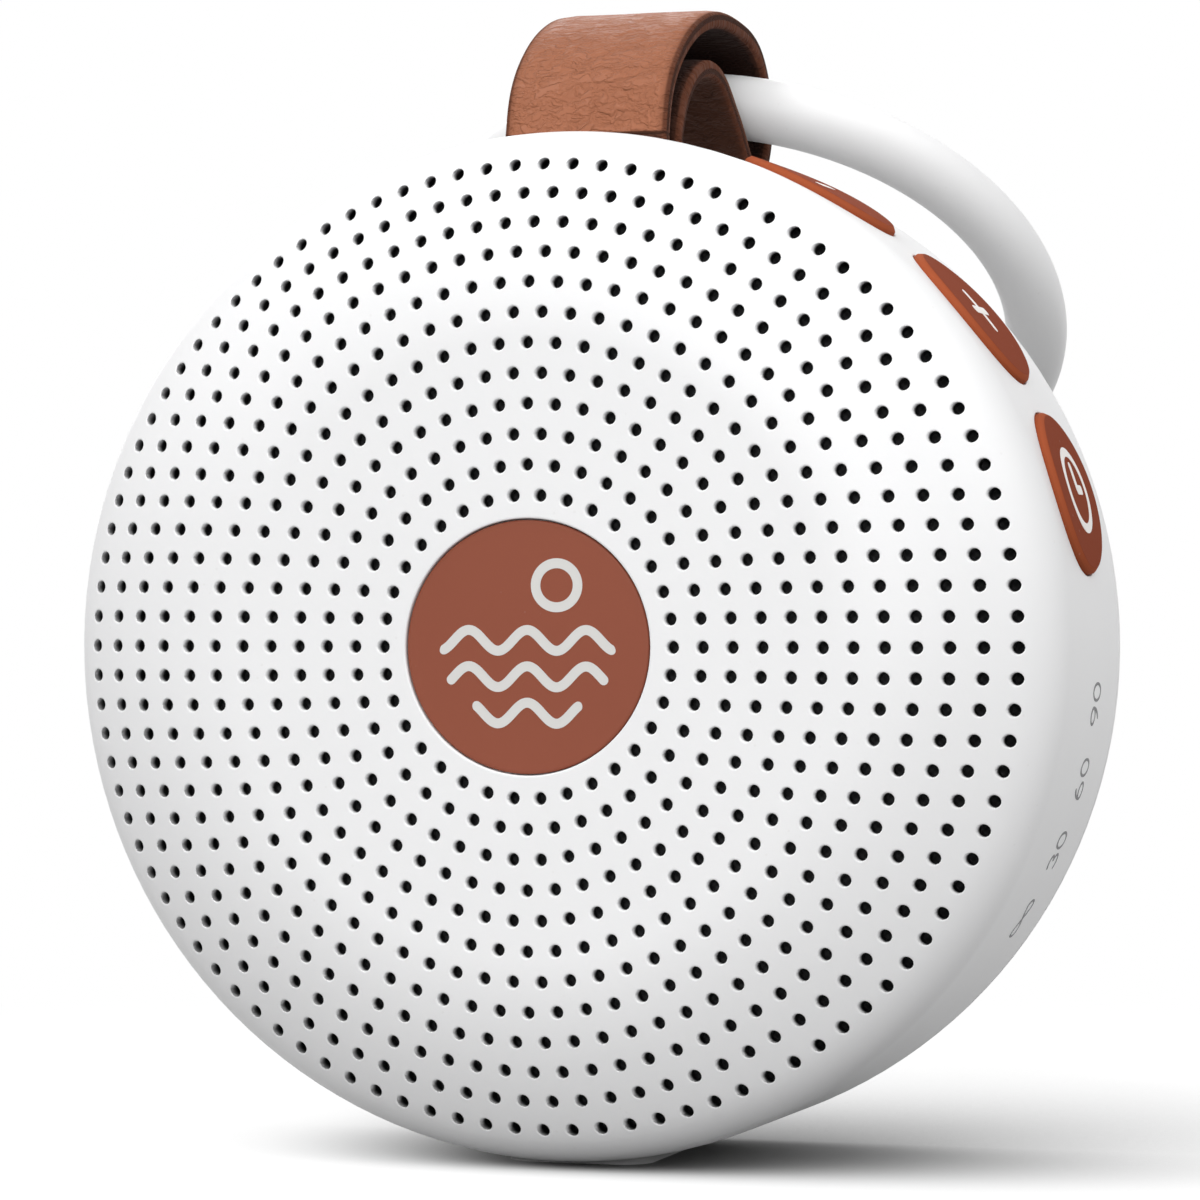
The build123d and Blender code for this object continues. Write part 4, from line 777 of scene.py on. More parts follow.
SLOT_FINISHES = {
    "white_shell": lambda: moulded("shell_white", (0.86, 0.86, 0.862), 0.42),
    "ring_white": lambda: moulded("ring_plastic", (0.84, 0.84, 0.842), 0.36),
    "terracotta": lambda: moulded("terracotta_plastic", (0.283, 0.089, 0.054), 0.5, tone=0.1),
    "leather": lambda: moulded("leather_inside", (0.16, 0.06, 0.035), 0.7, 1800.0, 0.3, 0.2),
    "cloth_black": lambda: woven("acoustic_cloth", (0.012, 0.012, 0.013), (0.06, 0.06, 0.062)),
    "rubber_grey": lambda: moulded("foot_rubber", (0.66, 0.66, 0.66), 0.75, 2200.0, 0.3, 0.08, 0.4),
    "rubber_black": lambda: moulded("surround_rubber", (0.02, 0.02, 0.021), 0.6, 2600.0, 0.3),
    "black_plastic": lambda: moulded("black_plastic", (0.028, 0.028, 0.03), 0.42, 3600.0, 0.25),
    "foam_black": lambda: moulded("gasket_foam", (0.03, 0.03, 0.031), 0.95, 1500.0, 0.9, 0.3),
    "steel": lambda: drawn("plated_steel", (0.62, 0.61, 0.6), (0.38, 0.35, 0.32)),
    "ferrite": lambda: moulded("ferrite", (0.045, 0.044, 0.046), 0.55, 1900.0, 0.3, 0.2),
    "paper_cone": lambda: moulded("cone_paper", (0.07, 0.068, 0.066), 0.85, 1300.0, 0.7, 0.3),
    "copper": lambda: drawn("copper_winding", (0.62, 0.27, 0.14), (0.3, 0.12, 0.07), 0.3),
    "board_green": lambda: moulded("board_green", (0.018, 0.11, 0.045), 0.38, 900.0, 0.2, 0.3),
    "polyimide": lambda: moulded("flex_polyimide", (0.42, 0.19, 0.04), 0.35, 1400.0, 0.1, 0.15),
    "translucent": lambda: moulded("light_guide", (0.75, 0.76, 0.78), 0.3, 2600.0, 0.05,
                                   Transmission_Weight=0.5),
    "battery_wrap": lambda: moulded("battery_wrap", (0.1, 0.17, 0.3), 0.3, 1200.0, 0.15, 0.12),
    "wire_red": lambda: moulded("wire_red", (0.42, 0.02, 0.018), 0.4, 2000.0, 0.1, 0.1),
    "tape": lambda: woven("fabric_tape", (0.3, 0.29, 0.27), (0.5, 0.49, 0.46), 1500.0),
}


# ------------------------------------------------------------------ the covers
CELL_SHARE = 0.42               # half height of a hole's cell, as a share of the pitch
COLLAR_SHARE = 1.3              # first row round a hole, as a share of its radius
FIELD_MARGIN = 0.15 * MM        # from the grille's outer edge to the shoulder's first row
SEAT_MARGIN = 0.1 * MM          # from the grille's inner edge to the plate's recess
SEAT_THICKNESS = 1.0 * MM       # the seat behind the plate, on top of the wall
RIM_START = 0.8 * MM            # the rim's openings lie in a band from here behind the shoulder
RIM_END = 0.45 * MM             # to here before the seam
RIM_STEPS = 24                  # rows and columns of an opening's cell
OPENING_MARGIN = 0.85 * MM      # from an opening to the sides of its cell
SLOT_HALF_DEPTH = 3.6 * MM
SLOT_GAP = 0.4 * MM             # on each side of the leather
SLOT_CORNER = 0.3 * MM
SOCKET_GAP = 0.35 * MM
FOOT_GAP = 0.1 * MM
FOOT_CORNER = 0.5 * MM
BACK_THICKNESS = 2.0 * MM
SPIGOT_GAP = 0.15 * MM
SPIGOT_WALL = 1.4 * MM
WELL_MARGIN = 0.9 * MM          # from a screw well to the edge of its cell
WELL_STEPS = 12
FLAT_MARGIN = 0.04 * MM         # from the band of wells to the rounding of the back
POINT = 1e-9                    # radius of a circle that is welded into a point


def shoulder(shell):
    """Centre radius, centre depth and radius of the arc that joins the crown to the rim."""
    turn = shell.crown_turn
    crown_radius = shell.flat_radius + shell.crown_arc * math.sin(turn)
    rim = BODY_RADIUS - shell.draft
    radius = (rim - crown_radius) / (1 - math.sin(turn))
    depth = shell.crown_arc * (1 - math.cos(turn)) + radius * math.cos(turn)
    return rim - radius, depth, radius


def front_depth(radius, inset, shell):
    """Depth of the front at a radius: flat, then the wide arc, then the shoulder's arc.

    The inset moves the whole curve inwards by the same distance, so both arcs shrink by it.
    """
    shoulder_radius, shoulder_depth, shoulder_arc = shoulder(shell)
    crown = shell.crown_arc - inset
    crown_end = shell.flat_radius + crown * math.sin(shell.crown_turn)
    out = np.clip(radius - shell.flat_radius, 0, crown)
    crown_depth = shell.crown_arc - np.sqrt(crown ** 2 - out ** 2)
    reach = np.clip((shoulder_arc - inset) ** 2 - (radius - shoulder_radius) ** 2, 0, None)
    return np.where(radius < crown_end, crown_depth, shoulder_depth - np.sqrt(reach))


def perforated_field(work, shell):
    """The rings of holes, each hole with its own cell; returns the field's two edges.

    Ring n lies n pitches outside the first one, with n times the added number of holes, evenly
    turned. A cell's rows run from its edge over the outside to the hole's rounded rim, down the
    hole's wall and back out along the inside.
    """
    ring = np.arange(shell.rings)
    counts = shell.first_count + shell.more * ring
    of_ring = np.repeat(ring, counts)
    number = np.arange(counts.sum()) - np.repeat(np.cumsum(counts) - counts, counts)
    turn = (FULL_TURN * number / counts[of_ring])[:, None]
    radius = (shell.first_ring + shell.pitch * of_ring)[:, None]
    half_turn = (math.pi / counts[of_ring])[:, None]
    half_rise = CELL_SHARE * shell.pitch
    side = np.tan(np.radians([-45.0, -22.5, 0.0, 22.5]))
    walk = square_walk(side)
    edge_radius = radius + half_rise * walk[0]
    edge_turn = turn + half_turn * walk[1]
    toward = np.arctan2(edge_radius * np.sin(edge_turn - turn),
                        edge_radius * np.cos(edge_turn - turn) - radius)
    rows = [round_drum(edge_radius, edge_turn, front_depth(edge_radius, 0, shell))]
    hole = shell.hole / 2
    for reach, inset, sunk in ((COLLAR_SHARE * hole, 0, 0), (hole + shell.hole_edge, 0, 0),
                               (hole, 0, shell.hole_edge), (hole, shell.wall, 0)):
        out = radius + reach * np.cos(toward)
        aside = reach * np.sin(toward)
        here = np.hypot(out, aside)
        rows.append(round_drum(here, turn + np.arctan2(aside, out),
                               front_depth(here, inset, shell) + sunk))
    rows.append(round_drum(edge_radius, edge_turn, front_depth(edge_radius, shell.wall, shell)))
    points = np.stack(rows, axis=1)
    # 1 on a hole's wall and inside, which are painted dark as painted shade
    bore = np.array([0.0, 0.0, 0.0, 0.0, 1.0, 1.0])[None, :, None]
    work.cells(points, bore=np.broadcast_to(bore, points.shape[:3]))

    def ring_edge(index, sign):
        """Angles and radius of one edge of a ring of cells."""
        centres = FULL_TURN * np.arange(counts[index]) / counts[index]
        angles = centres[:, None] + math.pi / counts[index] * side * sign
        return np.sort(angles.ravel()), shell.first_ring + shell.pitch * index + sign * half_rise

    for index in range(shell.rings - 1):
        near_turns, near = ring_edge(index, 1)
        far_turns, far = ring_edge(index + 1, -1)
        for inset in (0, shell.wall):
            work.zip_rings(near_turns,
                           round_drum(near, near_turns, front_depth(near, inset, shell)),
                           far_turns, round_drum(far, far_turns, front_depth(far, inset, shell)))
    return ring_edge(0, -1), ring_edge(shell.rings - 1, 1)


def rim_opening(angle, centre, half_along, half_across, corner, **more):
    """An opening: angle round the drum, centre depth, half sizes and corner radius."""
    return {"angle": angle, "centre": centre, "half_along": half_along,
            "half_across": half_across, "corner": corner, **more}


def rim_openings(buttons, strap):
    """The openings in the rim, for the buttons, the band, the socket and the foot."""
    radius = buttons.diameter / 2 + buttons.gap
    found = [rim_opening(angle, buttons.depth, radius, radius, radius)
             for angle in KEY_ANGLES.values()]
    found.append(rim_opening(STRAP_ANGLE, (PIN_LOW[1] + PIN_HIGH[1]) / 2 - FRONT_Y,
                             SLOT_HALF_DEPTH, strap.width / 2 + SLOT_GAP, SLOT_CORNER))
    half = (SOCKET_HIGH - SOCKET_LOW) / 2 + SOCKET_GAP
    found.append(rim_opening(SOCKET_ANGLE, (SOCKET_LOW[1] + SOCKET_HIGH[1]) / 2 - FRONT_Y,
                             half[1], half[2], half[1]))
    half = (FOOT_HIGH - FOOT_LOW) / 2 + FOOT_GAP
    found.append(rim_opening(FOOT_ANGLE, (FOOT_HIGH[1] + FOOT_LOW[1]) / 2 - FRONT_Y,
                             half[1], half[0], FOOT_CORNER, floor=AXIS_Z - FOOT_HIGH[2]))
    return found


def rim_radius(depth, shell):
    """The rim's outer radius, which grows evenly by the draft from the shoulder to the seam."""
    _, start, _ = shoulder(shell)
    return BODY_RADIUS - shell.draft + shell.draft * (depth - start) / (SEAM_DEPTH - start)


def rim_inside(shell):
    """Radius of the rim's straight inner wall."""
    return BODY_RADIUS - shell.draft - shell.wall


def rim_ends(shell):
    """Depths between which the rim holds its openings."""
    return shoulder(shell)[1] + RIM_START, SEAM_DEPTH - RIM_END


def rim_band(work, shell, openings):
    """The band of openings, outside and inside; returns the angles of its columns.

    An opening's rows run from its cell's edge to its rounded rim, through the wall and back. The
    foot's opening has a floor instead, with the plain inner wall behind it.
    """
    low, high = rim_ends(shell)
    inside = rim_inside(shell)
    edge = shell.edge
    lip = 3 * edge

    def radius(depth, layer):
        return rim_radius(depth, shell) if layer == 0 else inside + 0 * depth

    def place(depth, turn, layer):
        return round_drum(radius(depth, layer), turn, depth)

    def cut(opening, cell, walk):
        centre = math.radians(opening["angle"])

        def outline(grow):
            return rounded_outline(walk, opening["half_along"] + grow,
                                   opening["half_across"] + grow, opening["corner"] + grow)

        def row(layer, grow, share, sunk):
            """The opening's outline grown by a length, a share of the way from the cell's edge."""
            along, across = outline(grow)
            depth = opening["centre"] + along
            turn = centre + np.arcsin(across / radius(depth, layer))
            depth = cell[0] + share * (depth - cell[0])
            turn = cell[1] + share * (turn - cell[1])
            return round_drum(radius(depth, layer) - sunk, turn, depth)

        rows = [row(0, lip, share, 0) for share in (0.0, 0.5, 1.0)]
        rows += [row(0, edge, 1, 0), row(0, HALFWAY * edge, 1, HALFWAY * edge), row(0, 0, 1, edge)]
        if "floor" in opening:
            along, across = outline(0)
            rows += [on_rim(opening["angle"], opening["centre"] + share * along, share * across,
                            opening["floor"] + 0 * across) for share in (1.0, 0.0)]
            middle = (low + high) / 2
            wall = [round_drum(inside, centre + share * (cell[1] - centre),
                               middle + share * (cell[0] - middle))
                    for share in (1.0, 0.75, 0.5, 0.25, 0.0)]
            work.grid(np.stack(rows))
            work.grid(np.stack(wall))
        else:
            rows += [row(1, 0, 1, 0), row(1, lip, 1, 0), row(1, lip, 0.5, 0), row(1, 0, 0, 0)]
            work.grid(np.stack(rows))

    return band_with_openings(work, openings, low, high, RIM_STEPS, OPENING_MARGIN,
                              BODY_RADIUS - shell.draft, place, (0, 1), cut)


def front_shoulder(work, shell, turns, field_turns, field_radius):
    """The shoulder's arc, outside and inside, from the grille's outer edge to the band."""
    centre_radius, centre_depth, arc_radius = shoulder(shell)
    band_low, _ = rim_ends(shell)
    for inset in (0, shell.wall):
        radius = arc_radius - inset
        start = math.degrees(math.asin((field_radius + FIELD_MARGIN - centre_radius) / radius))
        curve = arc((centre_radius, centre_depth), radius, start, 90, 10)
        end = [[rim_inside(shell) if inset else rim_radius(band_low, shell), band_low]]
        lathe(work, np.concatenate([curve, end]), turns)
        work.zip_rings(field_turns, round_drum(field_radius, field_turns,
                                               front_depth(field_radius, inset, shell)),
                       turns, round_drum(curve[0, 0], turns, curve[0, 1]))


def front_seam(work, shell, turns):
    """The rim's rounded end at the seam, from the band outside to the band inside."""
    _, band_high = rim_ends(shell)
    inside = rim_inside(shell)
    edge = shell.edge
    lathe(work, [(rim_radius(band_high, shell), band_high), (BODY_RADIUS, SEAM_DEPTH - edge),
                 (BODY_RADIUS - HALFWAY * edge, SEAM_DEPTH - HALFWAY * edge),
                 (BODY_RADIUS - edge, SEAM_DEPTH), (inside, SEAM_DEPTH), (inside, band_high)],
          turns)


def front_recess(work, shell, emblem, turns, field_turns, field_radius):
    """The recess that the plate sits in, and the seat behind it."""
    edge = shell.edge
    recess = emblem.diameter / 2 + emblem.gap
    floor = emblem.inset + emblem.thickness
    near = field_radius - SEAT_MARGIN
    seat = shell.wall + SEAT_THICKNESS
    front = [(near, 0), (recess + 2 * edge, 0), (recess + edge, 0),
             (recess + HALFWAY * edge, HALFWAY * edge), (recess, edge), (recess, floor), (0, floor)]
    behind = [(near, shell.wall), (near, seat), (0, seat)]
    for profile, inset in ((front, 0), (behind, shell.wall)):
        lathe(work, profile, turns)
        work.zip_rings(field_turns, round_drum(field_radius, field_turns, inset),
                       turns, round_drum(near, turns, inset))


def make_front_shell(shell, buttons, strap, emblem):
    """Front cover: perforated crown, shoulder and rim with its openings, as one closed skin.

    Its outside and its inside are curves of radius and depth turned round the drum's axis.
    """
    work = Patchwork()
    turns = rim_band(work, shell, rim_openings(buttons, strap))
    inner_edge, outer_edge = perforated_field(work, shell)
    front_shoulder(work, shell, turns, *outer_edge)
    front_seam(work, shell, turns)
    front_recess(work, shell, emblem, turns, *inner_edge)
    piece = work.finish("front_shell", cover_plastic(shell), "housing")
    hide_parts("front_cover")


def make_back_shell(shell):
    """Back cover: flat back with four screw wells, a rounded edge and the spigot inside the rim.

    It is a profile of radius and depth turned round the drum's axis, with the wells in a band of
    the flat back, each a circle of points beside the well's centre.
    """
    work = Patchwork()
    edge = shell.edge
    seam = SEAM_DEPTH + shell.seam
    flat = BODY_RADIUS - shell.back_round
    low = shell.well_circle - shell.well - WELL_MARGIN
    high = flat - FLAT_MARGIN
    inner = BODY_DEPTH - BACK_THICKNESS

    def place(radius, turn, _):
        return round_drum(radius, turn, BODY_DEPTH)

    def cut(opening, cell, walk):
        """Rows from the cell's edge to the well's rounded rim and down to its floor."""
        centre = math.radians(opening["angle"])
        rows = [round_drum(*cell, BODY_DEPTH)]
        for reach, sunk in ((shell.well + 1.1 * edge, 0), (shell.well + edge, 0),
                            (shell.well + HALFWAY * edge, HALFWAY * edge), (shell.well, edge),
                            (shell.well, shell.well_depth), (POINT, shell.well_depth)):
            along, across = rounded_outline(walk, reach, reach, reach)
            out = shell.well_circle + along
            rows.append(round_drum(np.hypot(out, across), centre + np.arctan2(across, out),
                                   BODY_DEPTH - sunk))
        work.grid(np.stack(rows))

    wells = [{"angle": angle, "half_across": shell.well} for angle in POST_ANGLES]
    turns = band_with_openings(work, wells, low, high, WELL_STEPS, WELL_MARGIN, shell.well_circle,
                               place, (0,), cut)
    lathe(work, [(0, BODY_DEPTH), (0.5 * low, BODY_DEPTH), (low, BODY_DEPTH)], turns)
    corner = arc((flat, BODY_DEPTH - shell.back_round), shell.back_round, 180, 90, 12)
    spigot = rim_inside(shell) - SPIGOT_GAP
    thin = spigot - SPIGOT_WALL
    lathe(work, [(high, BODY_DEPTH)] + corner[:-1].tolist()
          + [(BODY_RADIUS, seam + edge), (BODY_RADIUS - HALFWAY * edge, seam + HALFWAY * edge),
             (BODY_RADIUS - edge, seam), (spigot, seam), (spigot, SPIGOT_FRONT),
             (thin, SPIGOT_FRONT), (thin, BODY_DEPTH - shell.well_depth),
             (thin - SPIGOT_WALL, inner), (0, inner)],
          turns)
    piece = work.finish("back_shell", moulded("back_white", shell.white, 0.46), "housing")
    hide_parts("back_cover")


# ------------------------------------------------------------------ emblem
# the print, in millimetres: each wave's middle height and half length, then the small ring
WAVES = ((0.6, 8.4), (-2.7, 7.6), (-6.0, 5.2))
WAVE_HEIGHT = 0.95
WAVE_LENGTH = 5.6
SMALL_RING_RADIUS = 2.0
SMALL_RING_MIDDLE = (2.8, 5.6)
CLOSED_TURN = 351               # degrees to the last point of a circle that a ribbon closes


def make_emblem(emblem):
    """Round plate with a sloped edge, and the print on it: a small ring above three waves.

    The plate is a profile of radius and depth turned round the drum's axis. A wave's height is
    its middle plus a cosine of the place across the plate.
    """
    work = Patchwork()
    radius = emblem.diameter / 2
    front, back = emblem.inset, emblem.inset + emblem.thickness
    turns = np.linspace(0, FULL_TURN, 128, endpoint=False)
    bevel = emblem.bevel
    lathe(work, [(0, front), (0.5 * radius, front), (radius - 2 * bevel, front),
                 (radius - bevel, front), (radius - HALFWAY * bevel, front + HALFWAY * bevel),
                 (radius, front + bevel), (radius, back), (0, back)], turns)
    plate = work.finish("emblem_disc", moulded("emblem_terracotta", emblem.brown, 0.52, 4200.0,
                                               0.14, 0.1, 0.25, Specular_IOR_Level=0.15),
                        "housing")
    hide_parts("emblem_plate")

    def on_plate(u, v, h):
        return in_part(u, front - h, v)

    ink = Patchwork()
    for middle, half in WAVES:
        u = np.linspace(-half, half, 160)
        wave = middle + WAVE_HEIGHT * np.cos(u / WAVE_LENGTH * FULL_TURN)
        ribbon(ink, np.stack([u, wave], axis=-1) * MM, emblem.stroke, on_plate)
    small_ring = oval(SMALL_RING_RADIUS, SMALL_RING_RADIUS, 0, CLOSED_TURN, SMALL_RING_MIDDLE)
    ribbon(ink, small_ring, emblem.stroke, on_plate, loop=True)
    lines = ink.finish("emblem_print", moulded("emblem_ink", emblem.ink, 0.5, dust=0.0), "housing")


# ------------------------------------------------------------------ buttons and marks
FLANGE_DROP = 3.4 * MM          # from the rim down to the flange that holds a button in
FLANGE_THICKNESS = 1.0 * MM
CAP_COLUMNS = 96
SIGN_STEP = 0.008 * MM          # each further stroke of a sign stands this much higher
# the signs and the marks, in millimetres
BAR = 2.6                       # half length of the minus and plus strokes
CLOCK_RADIUS = 3.7
CLOCK_HANDS = ((0.0, 2.7), (0.0, 0.0), (2.1, 0.0))
POWER_RADIUS = 3.1
POWER_ARC = (218, 502)          # degrees from one side of the open ring's gap to the other
POWER_STROKE = ((-0.9, 0.0), (-4.2, 0.0))
FIGURE_PITCH = 2.25
ENDLESS_SIZE = (2.0, 0.95)      # half width and half height of the endless sign
ENDLESS_START = 0.6             # its line starts this far from the crossing, in radians
ENDLESS_WEAVE = 0.006 * MM      # it rises and falls by this once, to cross over itself
MARK_DRAFT = 0.04 * MM          # how much narrower the rim is at the marks
MARK_TEXTS = ("90", "60", "30", "")


def button_sign(key):
    """Paths of one button's sign: u towards the back, v round the rim, and if they close."""
    bar = np.array([(-BAR, 0.0), (BAR, 0.0)]) * MM
    if key == "minus":
        return [(bar, False)]
    if key == "plus":
        return [(bar, False), (bar[:, ::-1], False)]
    if key == "timer":
        return [(oval(CLOCK_RADIUS, CLOCK_RADIUS, 0, CLOSED_TURN), True),
                (np.array(CLOCK_HANDS) * MM, False)]
    return [(oval(POWER_RADIUS, POWER_RADIUS, *POWER_ARC), False),
            (np.array(POWER_STROKE) * MM, False)]


def make_buttons(buttons):
    """Round caps whose tops follow the rim, each with its printed sign.

    A cap is a polar grid round its radial axis. Its top lies on a cylinder about the drum's axis,
    so it is the square root of that radius squared less the place across squared.
    """
    radius = buttons.diameter / 2
    top = BODY_RADIUS + buttons.rise
    flange_top = BODY_RADIUS - FLANGE_DROP
    flange_low = flange_top - FLANGE_THICKNESS
    turn = np.linspace(0, FULL_TURN, CAP_COLUMNS, endpoint=False)
    bevel = buttons.bevel
    # radius, drop below the top, how much of the side's colour
    rows = np.array([(0, 0, 0), (2 * MM, 0, 0), (4 * MM, 0, 0), (6 * MM, 0, 0),
                     (radius - 1.3 * bevel, 0, 0), (radius - 1.08 * bevel, 0, 0.1),
                     (radius - 0.9 * bevel, 0.06 * bevel, 0.7),
                     (radius - 0.1 * bevel, 0.84 * bevel, 1.0),
                     (radius - 0.02 * bevel, 0.98 * bevel, 1.0), (radius, 1.15 * bevel, 1.0)])
    material = button_plastic(buttons)
    print_material = moulded("sign_ink", buttons.sign, 0.45, dust=0.05)

    def surface(across):
        return np.sqrt(top ** 2 - across ** 2)

    for key, angle in KEY_ANGLES.items():
        work = Patchwork()
        reach = np.concatenate([rows[:, 0], [radius, radius + buttons.flange,
                                             radius + buttons.flange, 0]])[:, None]
        along, across = reach * np.cos(turn), reach * np.sin(turn)
        out = surface(across)
        out[:len(rows)] -= rows[:, 1:2]
        out[len(rows):] = np.array([flange_top, flange_top, flange_low, flange_low])[:, None]
        side = np.concatenate([rows[:, 2], np.ones(4)])[:, None] + 0 * turn
        work.grid(on_rim(angle, buttons.depth + along, across, out), side=side)
        cap = work.finish(key + "_cap", material, key + "_key")
        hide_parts(key + "_button")

        def on_cap(u, v, h):
            return on_rim(angle, buttons.depth + u, v, surface(v) + h)

        ink = Patchwork()
        for number, (path, loop) in enumerate(button_sign(key)):
            ribbon(ink, path, buttons.stroke, on_cap, PRINT_PROUD + number * SIGN_STEP, loop)
        sign = ink.finish(key + "_sign", print_material, key + "_key")


def digit(figure):
    """Stroke of one figure from arcs of ovals, u to the right and v up from its middle.

    A six is a nine turned by half a turn.
    """
    if figure == "0":
        return oval(0.78, 1.55, 0, CLOSED_TURN), True
    if figure == "3":
        return np.concatenate([oval(0.72, 0.74, 150, -75, (0, 0.81)),
                               oval(0.8, 0.83, 80, -150, (0, -0.72))]), False
    loop = np.concatenate([oval(1.9, 2.6, -62, -8, (-1.12, 0.75)),
                           oval(0.78, 0.85, 0, 335, (0, 0.7))])
    loop = np.concatenate([[(-0.3 * MM, -1.52 * MM)], loop[loop[:, 1] > -1.5 * MM]])
    return (loop if figure == "9" else -loop), False


def make_marks(buttons):
    """Printed timer marks on the rim: figures that read round it, tops towards the front.

    The endless sign is the curve of a sine of the turn and a sine of twice the turn.
    """
    ink = Patchwork()
    radius = BODY_RADIUS - MARK_DRAFT
    for angle, text in zip(MARK_ANGLES, MARK_TEXTS):
        centre = math.radians(angle)

        def on_surface(u, v, h):
            return round_drum(radius + h, centre + u / radius, buttons.mark_depth - v)

        for place, figure in enumerate(text):
            path, loop = digit(figure)
            shift = np.array([(place - 0.5) * FIGURE_PITCH * MM, 0.0])
            ribbon(ink, path + shift, buttons.mark_stroke, on_surface, loop=loop)
        if not text:
            turn = np.linspace(0, FULL_TURN, 90, endpoint=False) + ENDLESS_START
            eight = np.stack([ENDLESS_SIZE[0] * np.sin(turn), ENDLESS_SIZE[1] * np.sin(2 * turn)],
                             axis=-1)
            ribbon(ink, eight * MM, buttons.mark_stroke, on_surface, loop=True,
                   weave=ENDLESS_WEAVE)
    marks = ink.finish("timer_marks", moulded("mark_ink", buttons.mark, 0.6, dust=0.0), "housing")


# ------------------------------------------------------------------ strap and ring
# middle line of the band outside the body, front leg to back leg: depth, height over the rim
STRAP_LINE = ((18.35, 0.3), (19.3, 3.6), (23.4, 8.2), (29.7, 11.5), (36.8, 13.1), (45.0, 13.0),
              (51.5, 11.3), (55.3, 6.0), (54.0, 1.0), (50.3, -0.8), (46.8, 1.1), (44.0, 3.45),
              (41.9, 4.9), (38.4, 7.1), (33.8, 8.0), (28.9, 6.8), (24.6, 3.5), (22.85, 0.3))
# two places on the band near the rim: depth, height over the rim
HINGE_START = (20.6, 0.87)
HINGE_END = (22.08, 4.04)
STRAP_STEP = 0.26 * MM          # about the way from one section of the band to the next
FLAT_POINTS = 29                # across each side of a section
EDGE_POINTS = 7                 # round each cut edge
PRESSED_FROM = 1.6 * MM         # from the cut edge inwards, where the pressed strip starts
PRESSED_OVER = 1.1 * MM         # and the width over which it reaches its depth
CREASE_ALONG = (0.42 * MM, 1.9 * MM)
CREASE_ACROSS = (2.9 * MM, 1.3 * MM)
SAG_DEPTH = 0.05 * MM           # slow waves of the whole band
SAG_ALONG = 3.7 * MM
CREASED_RADIUS = 4              # millimetres: a bend of this radius is creased in full inside
STRETCHED_RADIUS = 5            # and one of this radius is stretched in full outside
SIDE_APART = 40 * MM            # from the grain side's pattern to the inner side's
# painted shade: the band's inner leg past the ring, which lies under the loop
SHADE_FROM = 3 * MM              # past the ring both sides turn dark from here
SHADE_OVER = 6 * MM              # over this length
SHADE_SHARE = 0.85
RING_SECTIONS = 220
RING_COLUMNS = 56


def smooth_line(points, steps):
    """Natural cubic spline through points, with the chord lengths as its parameter.

    The second derivatives solve the usual three-term equations, with none at the two ends.
    """
    chord = np.hypot(*np.diff(points, axis=0).T)
    knot = np.concatenate([[0], np.cumsum(chord)])
    size = len(points)
    matrix = np.eye(size)
    right = np.zeros((size, 2))
    inner = np.arange(1, size - 1)
    matrix[inner, inner - 1] = chord[:-1]
    matrix[inner, inner] = 2 * (chord[:-1] + chord[1:])
    matrix[inner, inner + 1] = chord[1:]
    slope = np.diff(points, axis=0) / chord[:, None]
    right[1:-1] = 6 * np.diff(slope, axis=0)
    bend = np.linalg.solve(matrix, right)
    at = np.linspace(0, knot[-1], steps)
    span = np.clip(np.searchsorted(knot, at, side="right") - 1, 0, size - 2)
    before = (knot[span + 1] - at)[:, None]
    after = (at - knot[span])[:, None]
    wide = chord[span][:, None]
    return (bend[span] * before ** 3 + bend[span + 1] * after ** 3) / (6 * wide) \
        + (points[span] / wide - bend[span] * wide / 6) * before \
        + (points[span + 1] / wide - bend[span + 1] * wide / 6) * after


def strap_path():
    """Closed middle line of the band as (depth, height over the axis), evenly spaced."""
    line = np.array(STRAP_LINE) * MM
    line[:, 1] += BODY_RADIUS
    pin = (PIN_LOW[2] + PIN_HIGH[2]) / 2 - AXIS_Z
    low, high = line[0, 0], line[-1, 0]
    under = np.radians(np.linspace(0, -180, 40))
    path = np.concatenate([
        smooth_line(line, 900),
        [(high, pin)],
        np.stack([(low + high) / 2 + (high - low) / 2 * np.cos(under),
                  pin + (high - low) / 2 * np.sin(under)], axis=-1)[1:],
        line[:1]])
    run = np.concatenate([[0], np.cumsum(np.hypot(*np.diff(path, axis=0).T))])
    at = np.linspace(0, run[-1], int(run[-1] / STRAP_STEP), endpoint=False)
    return np.stack([np.interp(at, run, path[:, 0]), np.interp(at, run, path[:, 1])], axis=-1), at


def strap_bend(path, step):
    """Outward direction and curvature at each point of the closed middle line.

    The direction is the line from three points before to three points after, turned by a right
    angle. The curvature is the change of the direction over eight steps, smoothed over nine.
    """
    tangent = np.roll(path, -3, axis=0) - np.roll(path, 3, axis=0)
    tangent /= np.hypot(*tangent.T)[:, None]
    outward = np.stack([-tangent[:, 1], tangent[:, 0]], axis=-1)
    turned = np.roll(tangent, -4, axis=0) - np.roll(tangent, 4, axis=0)
    curve = (turned * outward).sum(axis=1) / (8 * step)
    total = len(path)
    curve = np.convolve(np.tile(curve, 3), np.ones(9) / 9, mode="same")[total:2 * total]
    return outward, curve[:, None]


